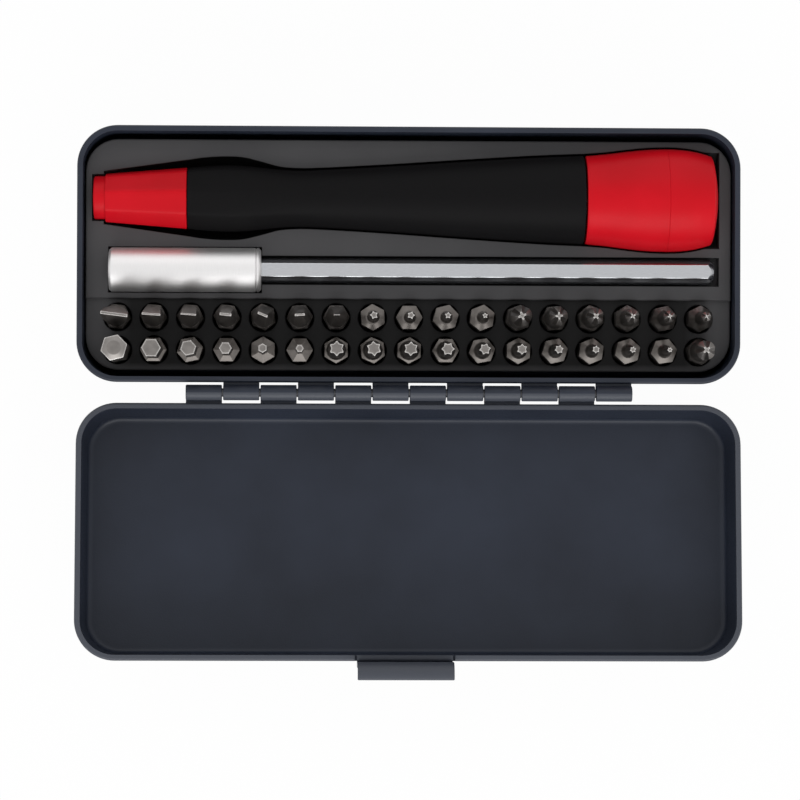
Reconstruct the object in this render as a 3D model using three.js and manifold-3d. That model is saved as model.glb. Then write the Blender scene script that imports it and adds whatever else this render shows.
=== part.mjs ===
// Precision screwdriver set in a hinged sheet metal case.
// Millimetres, +Z up. The origin is the centre of the case's underside, the case is open,
// the lid lies towards -Y and the long side of the case runs along X.

import * as THREE from 'three';
import { mergeVertices } from 'three/addons/utils/BufferGeometryUtils.js';
import Module from 'manifold-3d';

const wasm = await Module();
wasm.setup();

// Bits
const bitAcrossFlats = 4;
const bitLength = 28;
const bitColumns = 17;
const bitFit = 0.14;
const bitColumnWall = 1.4;
const bitRowWall = 0.8;
const bitHoleSteps = 12;
const bitShoulder = 9.5;
const bitSides = 12;

// Proportions of the bits, as shares of the hexagon's width or of the tip's own radius
const shoulderSlopeShare = 1.5;
const bladeRootShare = 0.46;
const bladeRiseShare = 0.14;
const bladeThicknessShare = 0.07;
const keyNeckShare = 1.05;
const keyLengthShare = 2.2;
const keyCollarShare = 0.09;
const hexFaceShare = 0.32;
const crossNoseShare = 0.36;
const crossConeShare = 1.75;
const crossWingShare = 0.2;
const crossMouthShare = 0.72;
const crossRootShare = 0.5;
const fiveStarValleyShare = 0.6;
const sixStarValleyShare = 0.68;

// Sizes of the tips as shares of the hexagon's width, in the order they stand in the case
const slottedWidthShares = [1.15, 0.8, 0.67, 0.52, 0.45, 0.42, 0.26];
const fiveStarRadiusShares = [0.18, 0.17, 0.145, 0.12];
const crossRadiusShares = [0.45, 0.4, 0.36, 0.3, 0.25, 0.2];
const hexWidthShares = [1, 0.75, 0.625, 0.5, 0.375, 0.325];
const sixStarRadiusShares = [0.33, 0.32, 0.31, 0.285, 0.25, 0.235, 0.195, 0.17, 0.145, 0.12];
const lastCrossRadiusShares = [0.42];

// How far each bit is turned in its hole, in degrees: they are dropped in by hand
const bitTurnsDegrees = [
  -7, -4, -4, -6, -22, 4, 0, 5, 0, 14, 22, 20, 4, 40, 32, 12, 28,
  14, 0, 12, 0, 30, 0, 30, 36, 28, 0, 10, 28, 12, 22, 18, 9, 40,
];

// Handle
const collarLength = 2;
const collarRadius = 3.74;
const noseLength = 14.1;
const noseFrontRadius = 4.3;
const noseRearRadius = 5.45;
const gripRearRadius = 7.72;
const capGap = 0.3;
const capLength = 23.05;
const capRadius = 8.93;
const capSeamShare = 0.61;
const coreRadius = 3.5;
const pressGap = 0.1;
const facetCount = 8;
const facetTurn = THREE.MathUtils.degToRad(12);
const facetFlatShare = 0.945;
const facetFadeShare = 0.35;
const handleSteps = 24;
const boreSteps = 18;

// Grip outline: place along the grip and radius, as shares of its length and rear radius
const gripOutlineShares = [
  [0, 0.706], [0.04, 0.738], [0.09, 0.762], [0.14, 0.752], [0.19, 0.706], [0.235, 0.662],
  [0.29, 0.643], [0.35, 0.66], [0.43, 0.698], [0.54, 0.758], [0.65, 0.826], [0.77, 0.896],
  [0.89, 0.96], [1, 1],
];

// How much wider than the grip its pocket is at those places, as shares of the same radius
const pocketSlackShares = [
  0.15, 0.17, 0.175, 0.17, 0.11, 0.05, 0.04, 0.04, 0.04, 0.04, 0.04, 0.04, 0.04, 0.04,
];

// Cap outline: place along the cap and radius, as shares of its length and largest radius
const capOutlineShares = [
  [0, 0.845], [0.012, 0.86], [0.15, 0.895], [0.3, 0.945], [0.45, 0.985], [0.6, 1],
  [0.72, 0.99], [0.83, 0.95], [0.9, 0.905], [0.935, 0.875], [0.955, 0.835], [0.975, 0.62],
  [0.992, 0.34], [1, 0],
];

// Bit socket in the handle and its magnet
const socketRadius = 2.8;
const socketBoreDepth = 12.5;
const socketClearance = 0.08;
const socketEndWall = 1.4;
const magnetRadius = 1.6;
const magnetLength = 2;

// Bearing of the turning cap
const bushWall = 0.8;
const bushLength = 8;
const bushClearance = 0.08;
const clipWall = 0.9;
const clipLength = 0.8;
const clipGrooveDepth = 0.4;
const clipMouthAngle = THREE.MathUtils.degToRad(60);
const capShoulder = 2.2;
const capEndPlay = 0.2;
const chamberRadius = 5.4;
const spigotWall = 1.1;
const spigotLength = 1.6;
const capHollowShare = 0.82;

// Bit holder
const sleeveLength = 26.3;
const sleeveRadius = 3.85;
const sleeveChamfer = 0.45;
const sleeveGroove = 0.18;
const sleeveGrooveAt = 0.85;
const sleeveBoreDepth = 10;
const shankChamfer = 1;
const shankSink = 11;

// Tray: its walls between what it holds, and how deep that lies in it
const trayFit = 0.3;
const bitEndWall = 3.1;
const bitFrontWall = 1.05;
const stripWall = 0.75;
const stripStep = 1;
const holderFrontWall = 0.82;
const shankWall = 0.59;
const capSideWall = 0.97;
const pocketFrontWall = 1.1;
const pocketRearWall = 2.05;
const pocketCapShare = 0.93;
const sleeveFrontWall = 3.75;
const shankRearWall = 2.1;
const slotEndSlack = 0.9;
const handleSink = 0.7;
const holderSink = 0.5;
const bitWell = 1.3;
const trayEdgeRound = 0.5;
const trayDraft = 0.5;
const trayFootInset = 1.1;
const trayFootHeight = 1.3;

// Case sheet
const sheetThickness = 1;
const caseCornerRadius = 7;
const baseDepth = 21.5;
const trayRecess = 3;
const trayEndGap = 0.35;
const traySideGap = 1.15;
const tipHeadroom = 1.7;
const foldRadius = 2;
const wallDraft = 0.6;
const rimRound = 0.3;
const rimGap = 0.3;
const cornerSteps = 6;
const foldSteps = 3;

// Hinge
const lidOpenAngle = THREE.MathUtils.degToRad(175);
const hingeWallGap = 0.41;
const hingeLength = 77.1;
const knuckleCount = 12;
const knuckleGap = 0.22;
const knuckleRadius = 1.34;
const knuckleSheet = 0.56;
const pinClearance = 0.05;
const pinInset = 0.3;
const curlSteps = 12;
const curlMouthAngle = THREE.MathUtils.degToRad(50);

// Latch tongue of the lid
const tongueWidth = 16.4;
const tongueSheet = 0.9;
const tongueClearance = 0.25;
const tongueShift = 0.7;
const tongueReach = 4.6;
const tongueJog = 1.2;
const lipRadius = 1.37;
const lipTurn = THREE.MathUtils.degToRad(120);
const lipSteps = 4;
const tongueRoot = 0.5;
const reliefWidth = 0.4;
const reliefDepth = 1.5;

const overrun = 1;
const weldDistance = 1e-5;
const fullTurn = 2 * Math.PI;

// Worked out from the sizes above: the bits set the tray's length, what lies in the tray
// sets its width, and the case is drawn round the tray
const bitCorner = bitAcrossFlats / Math.sqrt(3);
const bitHoleRadius = bitCorner + bitFit;
const bitPitch = 2 * bitHoleRadius + bitColumnWall;
const bitRowPitch = 2 * bitHoleRadius + bitRowWall;
const trayLength = (bitColumns - 1) * bitPitch + 2 * (bitHoleRadius + bitEndWall);
const frontRowInset = bitHoleRadius + bitFrontWall;
const stripInset = frontRowInset + bitRowPitch + bitHoleRadius + stripWall;
const holderInset = stripInset + holderFrontWall + trayFit + sleeveRadius;
const handleInset = holderInset + bitCorner + trayFit + shankWall + trayFit + capRadius;
const trayWidth = handleInset + capRadius + trayFit + capSideWall;
const trayFront = -trayWidth / 2;
const bitRowYs = [trayFront + frontRowInset + bitRowPitch, trayFront + frontRowInset];
const stripEdgeY = trayFront + stripInset;
const holderY = trayFront + holderInset;
const handleY = trayFront + handleInset;

const trayTop = baseDepth - trayRecess;
const handleZ = trayTop - handleSink;
const holderZ = trayTop - holderSink;
const bitFloor = sheetThickness + bitWell;
const lidDepth = bitFloor + bitLength - baseDepth + tipHeadroom + sheetThickness;

const caseLength = trayLength + 2 * (trayEndGap + sheetThickness);
const caseWidth = trayWidth + 2 * (traySideGap + sheetThickness);
const trayCornerRadius = caseCornerRadius - sheetThickness - trayEndGap;
const hingeOffset = knuckleRadius + hingeWallGap;

const handleFront = -trayLength / 2 + pocketFrontWall + trayFit;
const capEnd = trayLength / 2 - pocketRearWall - trayFit;
const capStart = capEnd - capLength;
const gripStart = handleFront + collarLength + noseLength;
const gripLength = capStart - capGap - gripStart;
const capSeam = capStart + capSeamShare * capLength;
const socketLength = socketBoreDepth + magnetLength + pressGap + socketEndWall;

// From the cap's front: the bush, the shoulder that the snap ring holds, then the ring
const snapRingStart = capStart + bushLength + pressGap + capShoulder + capEndPlay;

const sleeveStart = -trayLength / 2 + sleeveFrontWall + trayFit;
const sleeveEnd = sleeveStart + sleeveLength;
const shankEnd = trayLength / 2 - shankRearWall - slotEndSlack;

const paintedSheet = new THREE.MeshStandardMaterial({ color: 0x3a3e46, roughness: 0.55, metalness: 0.4 });
const pinSteel = new THREE.MeshStandardMaterial({ color: 0x8c8e92, roughness: 0.35, metalness: 1 });
const trayPlastic = new THREE.MeshStandardMaterial({ color: 0x3c3c3e, roughness: 0.6, metalness: 0 });
const redPlastic = new THREE.MeshStandardMaterial({ color: 0xc41a26, roughness: 0.4, metalness: 0 });
const blackRubber = new THREE.MeshStandardMaterial({ color: 0x161618, roughness: 0.75, metalness: 0 });
const brightSteel = new THREE.MeshStandardMaterial({ color: 0xb8bbbe, roughness: 0.25, metalness: 1 });
const satinAluminium = new THREE.MeshStandardMaterial({ color: 0xd9d8d6, roughness: 0.35, metalness: 0.9 });
const bitSteel = new THREE.MeshStandardMaterial({ color: 0x6d6864, roughness: 0.35, metalness: 1 });
const magnetMetal = new THREE.MeshStandardMaterial({ color: 0x77797c, roughness: 0.4, metalness: 1 });
const bushPlastic = new THREE.MeshStandardMaterial({ color: 0xe4e1d8, roughness: 0.5, metalness: 0 });

// Closed solids from three.js geometry and back

function toSolid(geometry) {
  const bare = geometry.clone();
  bare.deleteAttribute('normal');
  bare.deleteAttribute('uv');
  const merged = mergeVertices(bare, weldDistance);
  const mesh = new wasm.Mesh({
    numProp: 3,
    vertProperties: new Float32Array(merged.attributes.position.array),
    triVerts: new Uint32Array(merged.index.array),
  });
  return new wasm.Manifold(mesh);
}

function toGeometry(solid) {
  const mesh = solid.getMesh();
  const geometry = new THREE.BufferGeometry();
  geometry.setAttribute('position', new THREE.BufferAttribute(new Float32Array(mesh.vertProperties), 3));
  geometry.setIndex(new THREE.BufferAttribute(new Uint32Array(mesh.triVerts), 1));
  geometry.computeVertexNormals();
  return geometry;
}

function cut(body, tools) {
  let solid = toSolid(body);
  for (const tool of tools) {
    solid = solid.subtract(toSolid(tool));
  }
  return toGeometry(solid);
}

function join(pieces) {
  let solid = toSolid(pieces[0]);
  for (const piece of pieces.slice(1)) {
    solid = solid.add(toSolid(piece));
  }
  return toGeometry(solid);
}

function named(name, geometry, material) {
  const mesh = new THREE.Mesh(geometry, material);
  mesh.name = name;
  return mesh;
}

// Rings of equal point counts, from the lowest to the highest or round a closed wall,
// joined by quads and closed at both ends by fans

function loftRings(rings) {
  const count = rings[0].length;
  const positions = rings.flat().flatMap((point) => [point.x, point.y, point.z]);
  const indices = [];
  for (let ring = 0; ring + 1 < rings.length; ring += 1) {
    for (let i = 0; i < count; i += 1) {
      const next = (i + 1) % count;
      const low = ring * count;
      const high = low + count;
      indices.push(low + i, low + next, high + next);
      indices.push(low + i, high + next, high + i);
    }
  }
  const centres = [rings[0], rings[rings.length - 1]].map(ringCentre);
  const firstCentre = rings.length * count;
  const lastRing = (rings.length - 1) * count;
  for (const centre of centres) {
    positions.push(centre.x, centre.y, centre.z);
  }
  for (let i = 0; i < count; i += 1) {
    const next = (i + 1) % count;
    indices.push(firstCentre, next, i);
    indices.push(firstCentre + 1, lastRing + i, lastRing + next);
  }
  const geometry = new THREE.BufferGeometry();
  geometry.setAttribute('position', new THREE.Float32BufferAttribute(positions, 3));
  geometry.setIndex(indices);
  return geometry;
}

function ringCentre(ring) {
  const centre = new THREE.Vector3();
  for (const point of ring) {
    centre.add(point);
  }
  return centre.divideScalar(ring.length);
}

function roundedRectangleRing(length, width, radius, z) {
  const ring = [];
  for (let corner = 0; corner < 4; corner += 1) {
    const signX = corner === 0 || corner === 3 ? 1 : -1;
    const signY = corner < 2 ? 1 : -1;
    for (let step = 0; step <= cornerSteps; step += 1) {
      const angle = (fullTurn / 4) * (corner + step / cornerSteps);
      const x = signX * (length / 2 - radius) + radius * Math.cos(angle);
      const y = signY * (width / 2 - radius) + radius * Math.sin(angle);
      ring.push(new THREE.Vector3(x, y, z));
    }
  }
  return ring;
}

// Revolved and extruded pieces that lie along X

const upToX = new THREE.Matrix4().makeBasis(
  new THREE.Vector3(0, 1, 0),
  new THREE.Vector3(1, 0, 0),
  new THREE.Vector3(0, 0, -1),
);
const sectionToX = new THREE.Matrix4().makeBasis(
  new THREE.Vector3(0, 1, 0),
  new THREE.Vector3(0, 0, 1),
  new THREE.Vector3(1, 0, 0),
);

function turnedAlongX(stations, steps) {
  const profile = stations.map(([x, radius]) => new THREE.Vector2(radius, x));
  return new THREE.LatheGeometry(profile, steps).applyMatrix4(upToX);
}

function rodAlongX(start, length, radius, steps) {
  const stations = [[start, 0], [start, radius], [start + length, radius], [start + length, 0]];
  return turnedAlongX(stations, steps);
}

function sectionAlongX(shape, start, length) {
  const options = { depth: length, bevelEnabled: false, curveSegments: curlSteps };
  return new THREE.ExtrudeGeometry(shape, options).applyMatrix4(sectionToX).translate(start, 0, 0);
}

function hexagonShape(acrossFlats) {
  const shape = new THREE.Shape();
  const cornerRadius = acrossFlats / Math.sqrt(3);
  for (let corner = 0; corner < 6; corner += 1) {
    const angle = (fullTurn * corner) / 6;
    const x = cornerRadius * Math.cos(angle);
    const y = cornerRadius * Math.sin(angle);
    if (corner === 0) {
      shape.moveTo(x, y);
    } else {
      shape.lineTo(x, y);
    }
  }
  return shape;
}

function hexagonAlongX(start, length, acrossFlats) {
  return sectionAlongX(hexagonShape(acrossFlats), start, length);
}

function block(x0, x1, y0, y1, z0, z1) {
  const box = new THREE.BoxGeometry(x1 - x0, y1 - y0, z1 - z0);
  return box.translate((x0 + x1) / 2, (y0 + y1) / 2, (z0 + z1) / 2);
}

// Drawn sheet pan: a flat floor, a rounded fold, drafted walls and a rounded rim.
// Its rim is at z = 0 and its floor hangs below.

function drawnPan(depth) {
  const outer = panWall(depth, 0, foldRadius);
  const inner = panWall(depth, sheetThickness, foldRadius - sheetThickness);
  const rings = [];
  const addRing = (inset, z) => {
    const radius = caseCornerRadius - inset;
    rings.push(roundedRectangleRing(caseLength - 2 * inset, caseWidth - 2 * inset, radius, z));
  };
  for (const [inset, z] of outer) {
    addRing(inset, z);
  }
  addRing(0, -rimRound);
  addRing(rimRound, 0);
  addRing(sheetThickness - rimRound, 0);
  addRing(sheetThickness, -rimRound);
  for (const [inset, z] of inner.reverse()) {
    addRing(inset, z);
  }
  return loftRings(rings);
}

function panWall(depth, offset, radius) {
  const path = [];
  const floorZ = -depth + offset;
  const foot = wallDraft + offset;
  for (let step = 0; step <= foldSteps; step += 1) {
    const angle = (fullTurn / 4) * (step / foldSteps);
    const inset = foot + radius * (1 - Math.sin(angle));
    const z = floorZ + radius * (1 - Math.cos(angle));
    path.push([inset, z]);
  }
  return path;
}

// Rolled knuckle: the sheet leaves the wall as a short leaf below the pin and curls round it.
// The section is drawn about the pin's axis, with the wall on the side of the given sign.

function knuckleSection(side) {
  const inner = knuckleRadius - knuckleSheet;
  const leafEnd = hingeOffset + sheetThickness / 2;
  const section = new THREE.Shape();
  section.moveTo(side * leafEnd, -knuckleRadius);
  for (let step = 0; step <= curlSteps; step += 1) {
    const [y, z] = curlPoint(knuckleRadius, step);
    section.lineTo(side * y, z);
  }
  for (let step = curlSteps; step >= 0; step -= 1) {
    const [y, z] = curlPoint(inner, step);
    section.lineTo(side * y, z);
  }
  section.lineTo(side * leafEnd, -inner);
  return section;
}

function curlPoint(radius, step) {
  const sweep = fullTurn - curlMouthAngle;
  const angle = -fullTurn / 4 - (sweep * step) / curlSteps;
  return [radius * Math.cos(angle), radius * Math.sin(angle)];
}

function knuckles(side) {
  const pitch = hingeLength / knuckleCount;
  const section = knuckleSection(side);
  const pieces = [];
  const firstOfSide = side > 0 ? 1 : 0;
  for (let place = firstOfSide; place < knuckleCount; place += 2) {
    const start = -hingeLength / 2 + place * pitch + knuckleGap / 2;
    pieces.push(sectionAlongX(section, start, pitch - knuckleGap));
  }
  return pieces;
}

// Spring tongue at the lid's far edge: it steps out of the wall, stands up past the rim,
// so that it slides over the base's wall when the case shuts, and rolls out into a lip.

function otherSide(strip, thickness) {
  return strip.map((corner, index) => {
    const before = strip[Math.max(index - 1, 0)];
    const after = strip[Math.min(index + 1, strip.length - 1)];
    const into = Math.atan2(corner[1] - before[1], corner[0] - before[0]);
    const onward = Math.atan2(after[1] - corner[1], after[0] - corner[0]);
    const first = index === 0 ? onward : into;
    const last = index === strip.length - 1 ? into : onward;
    const middle = (first + last) / 2 + Math.PI / 2;
    const reach = thickness / Math.cos((last - first) / 2);
    return [corner[0] + Math.cos(middle) * reach, corner[1] + Math.sin(middle) * reach];
  });
}

function tongueSection(farY) {
  const outer = tongueClearance + tongueSheet;
  const section = new THREE.Shape();
  const strip = [
    [-tongueRoot, -tongueJog - tongueSheet],
    [outer, -tongueJog],
    [outer, tongueReach],
  ];
  for (let step = 1; step <= lipSteps; step += 1) {
    const turn = (lipTurn * step) / lipSteps;
    strip.push([outer + lipRadius * (1 - Math.cos(turn)), tongueReach + lipRadius * Math.sin(turn)]);
  }
  const corners = [...strip, ...otherSide(strip, tongueSheet).reverse()];
  corners.forEach(([out, z], index) => {
    if (index === 0) {
      section.moveTo(farY - out, z);
    } else {
      section.lineTo(farY - out, z);
    }
  });
  return section;
}

function baseShell() {
  const pan = drawnPan(baseDepth).translate(0, 0, baseDepth);
  const hingeZ = baseDepth + rimGap / 2;
  const hingeY = -caseWidth / 2 - hingeOffset;
  const rolls = knuckles(1).map((roll) => roll.translate(0, hingeY, hingeZ));
  return join([pan, ...rolls]);
}

// The lid is drawn about the hinge axis, lying flat towards -Y

function lidShell() {
  const centreY = -hingeOffset - caseWidth / 2;
  const farY = -hingeOffset - caseWidth;
  const pan = drawnPan(lidDepth).translate(0, centreY, 0);
  const tongueStart = -tongueWidth / 2 - tongueShift;
  const tongue = sectionAlongX(tongueSection(farY), tongueStart, tongueWidth);
  const reliefs = [-1, 1].map((side) => {
    const near = side * (tongueWidth / 2) - tongueShift;
    const far = near + side * reliefWidth;
    const low = Math.min(near, far);
    const high = Math.max(near, far);
    const depthY = sheetThickness + wallDraft + overrun;
    return block(low, high, farY - overrun, farY + depthY, -reliefDepth, overrun);
  });
  const sheet = cut(pan, reliefs);
  const whole = join([sheet, tongue]).translate(0, 0, -rimGap / 2);
  return join([whole, ...knuckles(-1)]);
}

function hingePin() {
  const radius = knuckleRadius - knuckleSheet - pinClearance;
  const half = hingeLength / 2 - pinInset;
  const round = radius / 3;
  const stations = [
    [-half, 0], [-half, radius - round], [-half + round, radius],
    [half - round, radius], [half, radius - round], [half, 0],
  ];
  return turnedAlongX(stations, curlSteps);
}

// Section of the handle: round, or an octagon with softened corners, or between the two

function handleRing(x, radius, facet) {
  const side = fullTurn / facetCount;
  const ring = [];
  for (let step = 0; step < handleSteps; step += 1) {
    const angle = (fullTurn * step) / handleSteps;
    const fromFlat = ((angle + side / 2) % side) - side / 2;
    const octagon = Math.min(facetFlatShare / Math.cos(fromFlat), 1);
    const reach = radius * (1 + facet * (octagon - 1));
    const turned = angle + facetTurn;
    ring.push(new THREE.Vector3(x, -reach * Math.sin(turned), reach * Math.cos(turned)));
  }
  return ring;
}

function handleCore() {
  const noseStart = handleFront + collarLength;
  const nose = loftRings([
    handleRing(noseStart, noseFrontRadius, 1),
    handleRing(gripStart, noseRearRadius, 1),
  ]);
  const collarRound = collarRadius / 12;
  const collar = turnedAlongX([
    [handleFront, 0],
    [handleFront, collarRadius - collarRound],
    [handleFront + collarRound, collarRadius],
    [noseStart + overrun, collarRadius],
    [noseStart + overrun, 0],
  ], handleSteps);
  const grooveStart = snapRingStart - pressGap;
  const grooveEnd = snapRingStart + clipLength + pressGap;
  const rearEnd = grooveEnd + clipLength;
  const shaft = turnedAlongX([
    [gripStart - overrun, 0],
    [gripStart - overrun, coreRadius],
    [grooveStart, coreRadius],
    [grooveStart, coreRadius - clipGrooveDepth],
    [grooveEnd, coreRadius - clipGrooveDepth],
    [grooveEnd, coreRadius],
    [rearEnd, coreRadius],
    [rearEnd, 0],
  ], boreSteps);
  const boreLength = socketLength + overrun + pressGap;
  const bore = rodAlongX(handleFront - overrun, boreLength, socketRadius + pressGap, boreSteps);
  return cut(join([collar, nose, shaft]), [bore]);
}

function gripSleeve() {
  const start = gripStart + pressGap;
  const length = gripLength - pressGap;
  const rings = gripOutlineShares.map(([along, radius]) => {
    const facet = THREE.MathUtils.clamp(1 - along / facetFadeShare, 0, 1);
    return handleRing(start + along * length, radius * gripRearRadius, facet);
  });
  const outside = loftRings(rings);
  const bore = rodAlongX(start - overrun, length + 2 * overrun, coreRadius + pressGap, boreSteps);
  return cut(outside, [bore]);
}

function bitSocket() {
  const body = rodAlongX(handleFront, socketLength, socketRadius, boreSteps);
  const boreWidth = bitAcrossFlats + 2 * socketClearance;
  const hexagon = hexagonAlongX(handleFront - overrun, socketBoreDepth + overrun, boreWidth);
  const magnetStart = handleFront + socketBoreDepth - overrun;
  const magnetDepth = magnetLength + pressGap + overrun;
  const magnetBore = rodAlongX(magnetStart, magnetDepth, magnetRadius + pressGap, curlSteps);
  return cut(body, [hexagon, magnetBore]);
}

function socketMagnet() {
  return rodAlongX(handleFront + socketBoreDepth, magnetLength, magnetRadius, curlSteps);
}

function capProfile(fromShare, toShare) {
  const stations = [];
  capOutlineShares.forEach(([along, radius], index) => {
    const previous = capOutlineShares[Math.max(index - 1, 0)];
    for (const edge of [fromShare, toShare]) {
      if (previous[0] < edge && edge < along) {
        const part = (edge - previous[0]) / (along - previous[0]);
        stations.push([edge, previous[1] + part * (radius - previous[1])]);
      }
    }
    if (along >= fromShare && along <= toShare) {
      stations.push([along, radius]);
    }
  });
  return stations.map(([along, radius]) => [capStart + along * capLength, radius * capRadius]);
}

function capBarrel() {
  const outline = capProfile(0, capSeamShare);
  const body = turnedAlongX([[outline[0][0], 0], ...outline, [capSeam, 0]], handleSteps);
  const bushRadius = coreRadius + bushClearance + bushWall + pressGap;
  const bushBore = rodAlongX(capStart - overrun, bushLength + overrun + pressGap, bushRadius, boreSteps);
  const journalBore = rodAlongX(capStart, capLength, coreRadius + bushClearance + pressGap, boreSteps);
  const chamberStart = snapRingStart - capEndPlay;
  const chamber = rodAlongX(chamberStart, capLength, chamberRadius, boreSteps);
  const spigotStart = capSeam - spigotLength - pressGap;
  const spigotRadius = chamberRadius + spigotWall + pressGap;
  const spigotBore = rodAlongX(spigotStart, capLength, spigotRadius, boreSteps);
  return cut(body, [bushBore, journalBore, chamber, spigotBore]);
}

function capHead() {
  const outline = capProfile(capSeamShare, 1);
  const head = turnedAlongX([[capSeam, 0], ...outline], handleSteps);
  const spigotStart = capSeam - spigotLength;
  const spigot = rodAlongX(spigotStart, spigotLength + overrun, chamberRadius + spigotWall, boreSteps);
  const hollowStart = spigotStart - overrun;
  const hollowEnd = capStart + capHollowShare * capLength;
  const hollow = rodAlongX(hollowStart, hollowEnd - hollowStart, chamberRadius, boreSteps);
  return cut(join([head, spigot]), [hollow]);
}

function capBush() {
  const inner = coreRadius + bushClearance;
  const start = capStart;
  const end = start + bushLength;
  const outer = inner + bushWall;
  const section = [[start, inner], [start, outer], [end, outer], [end, inner], [start, inner]];
  return turnedAlongX(section, boreSteps);
}

// Snap ring: an open ring in the groove at the end of the core

function capClip() {
  const inner = coreRadius - clipGrooveDepth + pressGap;
  const outer = inner + clipWall + clipGrooveDepth;
  const section = new THREE.Shape();
  const from = clipMouthAngle / 2;
  const to = fullTurn - clipMouthAngle / 2;
  section.absarc(0, 0, outer, from, to, false);
  section.absarc(0, 0, inner, to, from, true);
  const options = { depth: clipLength, bevelEnabled: false, curveSegments: curlSteps };
  const ring = new THREE.ExtrudeGeometry(section, options).applyMatrix4(sectionToX);
  return ring.translate(snapRingStart, 0, 0);
}

// Bit holder: a round sleeve with a magnetic hexagon socket on a hexagon shank

function holderSleeve() {
  const grooveAt = sleeveEnd - sleeveGrooveAt;
  const body = turnedAlongX([
    [sleeveStart, 0],
    [sleeveStart, sleeveRadius - sleeveChamfer],
    [sleeveStart + sleeveChamfer, sleeveRadius],
    [grooveAt - sleeveGroove, sleeveRadius],
    [grooveAt, sleeveRadius - sleeveGroove],
    [grooveAt + sleeveGroove, sleeveRadius],
    [sleeveEnd - sleeveChamfer, sleeveRadius],
    [sleeveEnd, sleeveRadius - sleeveChamfer],
    [sleeveEnd, 0],
  ], handleSteps);
  const boreWidth = bitAcrossFlats + 2 * socketClearance;
  const frontBore = hexagonAlongX(sleeveStart - overrun, sleeveBoreDepth + overrun, boreWidth);
  const magnetStart = sleeveStart + sleeveBoreDepth - overrun;
  const magnetDepth = magnetLength + pressGap + overrun;
  const magnetBore = rodAlongX(magnetStart, magnetDepth, magnetRadius + pressGap, curlSteps);
  const rearBore = hexagonAlongX(sleeveEnd - shankSink - pressGap, shankSink + pressGap + overrun, boreWidth);
  return cut(body, [frontBore, magnetBore, rearBore]);
}

function holderMagnet() {
  return rodAlongX(sleeveStart + sleeveBoreDepth, magnetLength, magnetRadius, curlSteps);
}

function holderShank() {
  const start = sleeveEnd - shankSink;
  const bar = toSolid(hexagonAlongX(start, shankEnd - start, bitAcrossFlats));
  const pointed = turnedAlongX([
    [start - overrun, 0],
    [start - overrun, bitCorner + overrun],
    [shankEnd - shankChamfer - overrun, bitCorner + overrun],
    [shankEnd, bitCorner - shankChamfer],
    [shankEnd, 0],
  ], handleSteps);
  return toGeometry(bar.intersect(toSolid(pointed)));
}

// Tray: a moulded block with a sunk strip for the bits, a cradle for the handle
// and a slot for the holder

function trayBlock() {
  const low = sheetThickness;
  const rings = [];
  const addRing = (inset, z) => {
    const radius = trayCornerRadius - Math.min(inset, trayCornerRadius / 2);
    rings.push(roundedRectangleRing(trayLength - 2 * inset, trayWidth - 2 * inset, radius, z));
  };
  addRing(trayDraft + trayFootInset, low);
  addRing(trayDraft, low + trayFootHeight);
  addRing(0, trayTop - trayEdgeRound);
  addRing(trayEdgeRound / 3, trayTop - trayEdgeRound / 3);
  addRing(trayEdgeRound, trayTop);
  return loftRings(rings);
}

function handlePocketStations() {
  const collar = collarRadius + trayFit;
  const noseX = handleFront + collarLength;
  const stations = [
    [handleFront - trayFit, 0],
    [handleFront - trayFit, collar],
    [noseX - trayFit, collar],
    [noseX - trayFit, noseFrontRadius + trayFit],
  ];
  gripOutlineShares.forEach(([along, radius], index) => {
    const slack = pocketSlackShares[index];
    stations.push([gripStart + along * gripLength, (radius + slack) * gripRearRadius]);
  });
  for (const [along, radius] of capOutlineShares.slice(2)) {
    if (along < pocketCapShare) {
      stations.push([capStart + along * capLength, radius * capRadius + trayFit]);
    }
  }
  const last = capStart + capLength + trayFit;
  const lastRadius = stations[stations.length - 1][1];
  stations.push([last, lastRadius], [last, 0]);
  return stations;
}

// Straight walls above the axis, down to the middle of what lies in the pocket

function openTop(stations, y, z) {
  const shape = new THREE.Shape();
  const outline = stations.map(([x, radius]) => [x, radius]);
  const mirrored = stations.slice(1, -1).reverse().map(([x, radius]) => [x, -radius]);
  [...outline, ...mirrored].forEach(([x, offset], index) => {
    if (index === 0) {
      shape.moveTo(x, offset);
    } else {
      shape.lineTo(x, offset);
    }
  });
  const options = { depth: trayTop + overrun - z, bevelEnabled: false };
  return new THREE.ExtrudeGeometry(shape, options).translate(0, y, z);
}

function bitTray() {
  const stations = handlePocketStations();
  const cradle = turnedAlongX(stations, handleSteps).translate(0, handleY, handleZ);
  const cradleTop = openTop(stations, handleY, handleZ);
  const sleeveStations = [
    [sleeveStart - trayFit, 0],
    [sleeveStart - trayFit, sleeveRadius + trayFit],
    [sleeveEnd + trayFit, sleeveRadius + trayFit],
    [sleeveEnd + trayFit, 0],
  ];
  const sleeveBed = turnedAlongX(sleeveStations, handleSteps).translate(0, holderY, holderZ);
  const sleeveTop = openTop(sleeveStations, holderY, holderZ);
  const slotHalf = bitCorner + trayFit;
  const slotFloor = holderZ - bitAcrossFlats / 2 - trayFit;
  const shankSlot = block(
    sleeveEnd, shankEnd + slotEndSlack, holderY - slotHalf, holderY + slotHalf,
    slotFloor, trayTop + overrun,
  );
  const strip = block(
    -trayLength, trayLength, -trayWidth, stripEdgeY, trayTop - stripStep, trayTop + overrun,
  );
  const tools = [strip, cradle, cradleTop, sleeveBed, sleeveTop, shankSlot];
  const holeDepth = trayTop + overrun - bitFloor;
  for (const place of bitPlaces()) {
    const hole = new THREE.CylinderGeometry(bitHoleRadius, bitHoleRadius, holeDepth, bitHoleSteps);
    hole.rotateX(fullTurn / 4);
    tools.push(hole.translate(place.x, place.y, bitFloor + holeDepth / 2));
  }
  return cut(trayBlock(), tools);
}

// Bits: a hexagon body with a turned shoulder, a round neck and the driving tip

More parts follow.
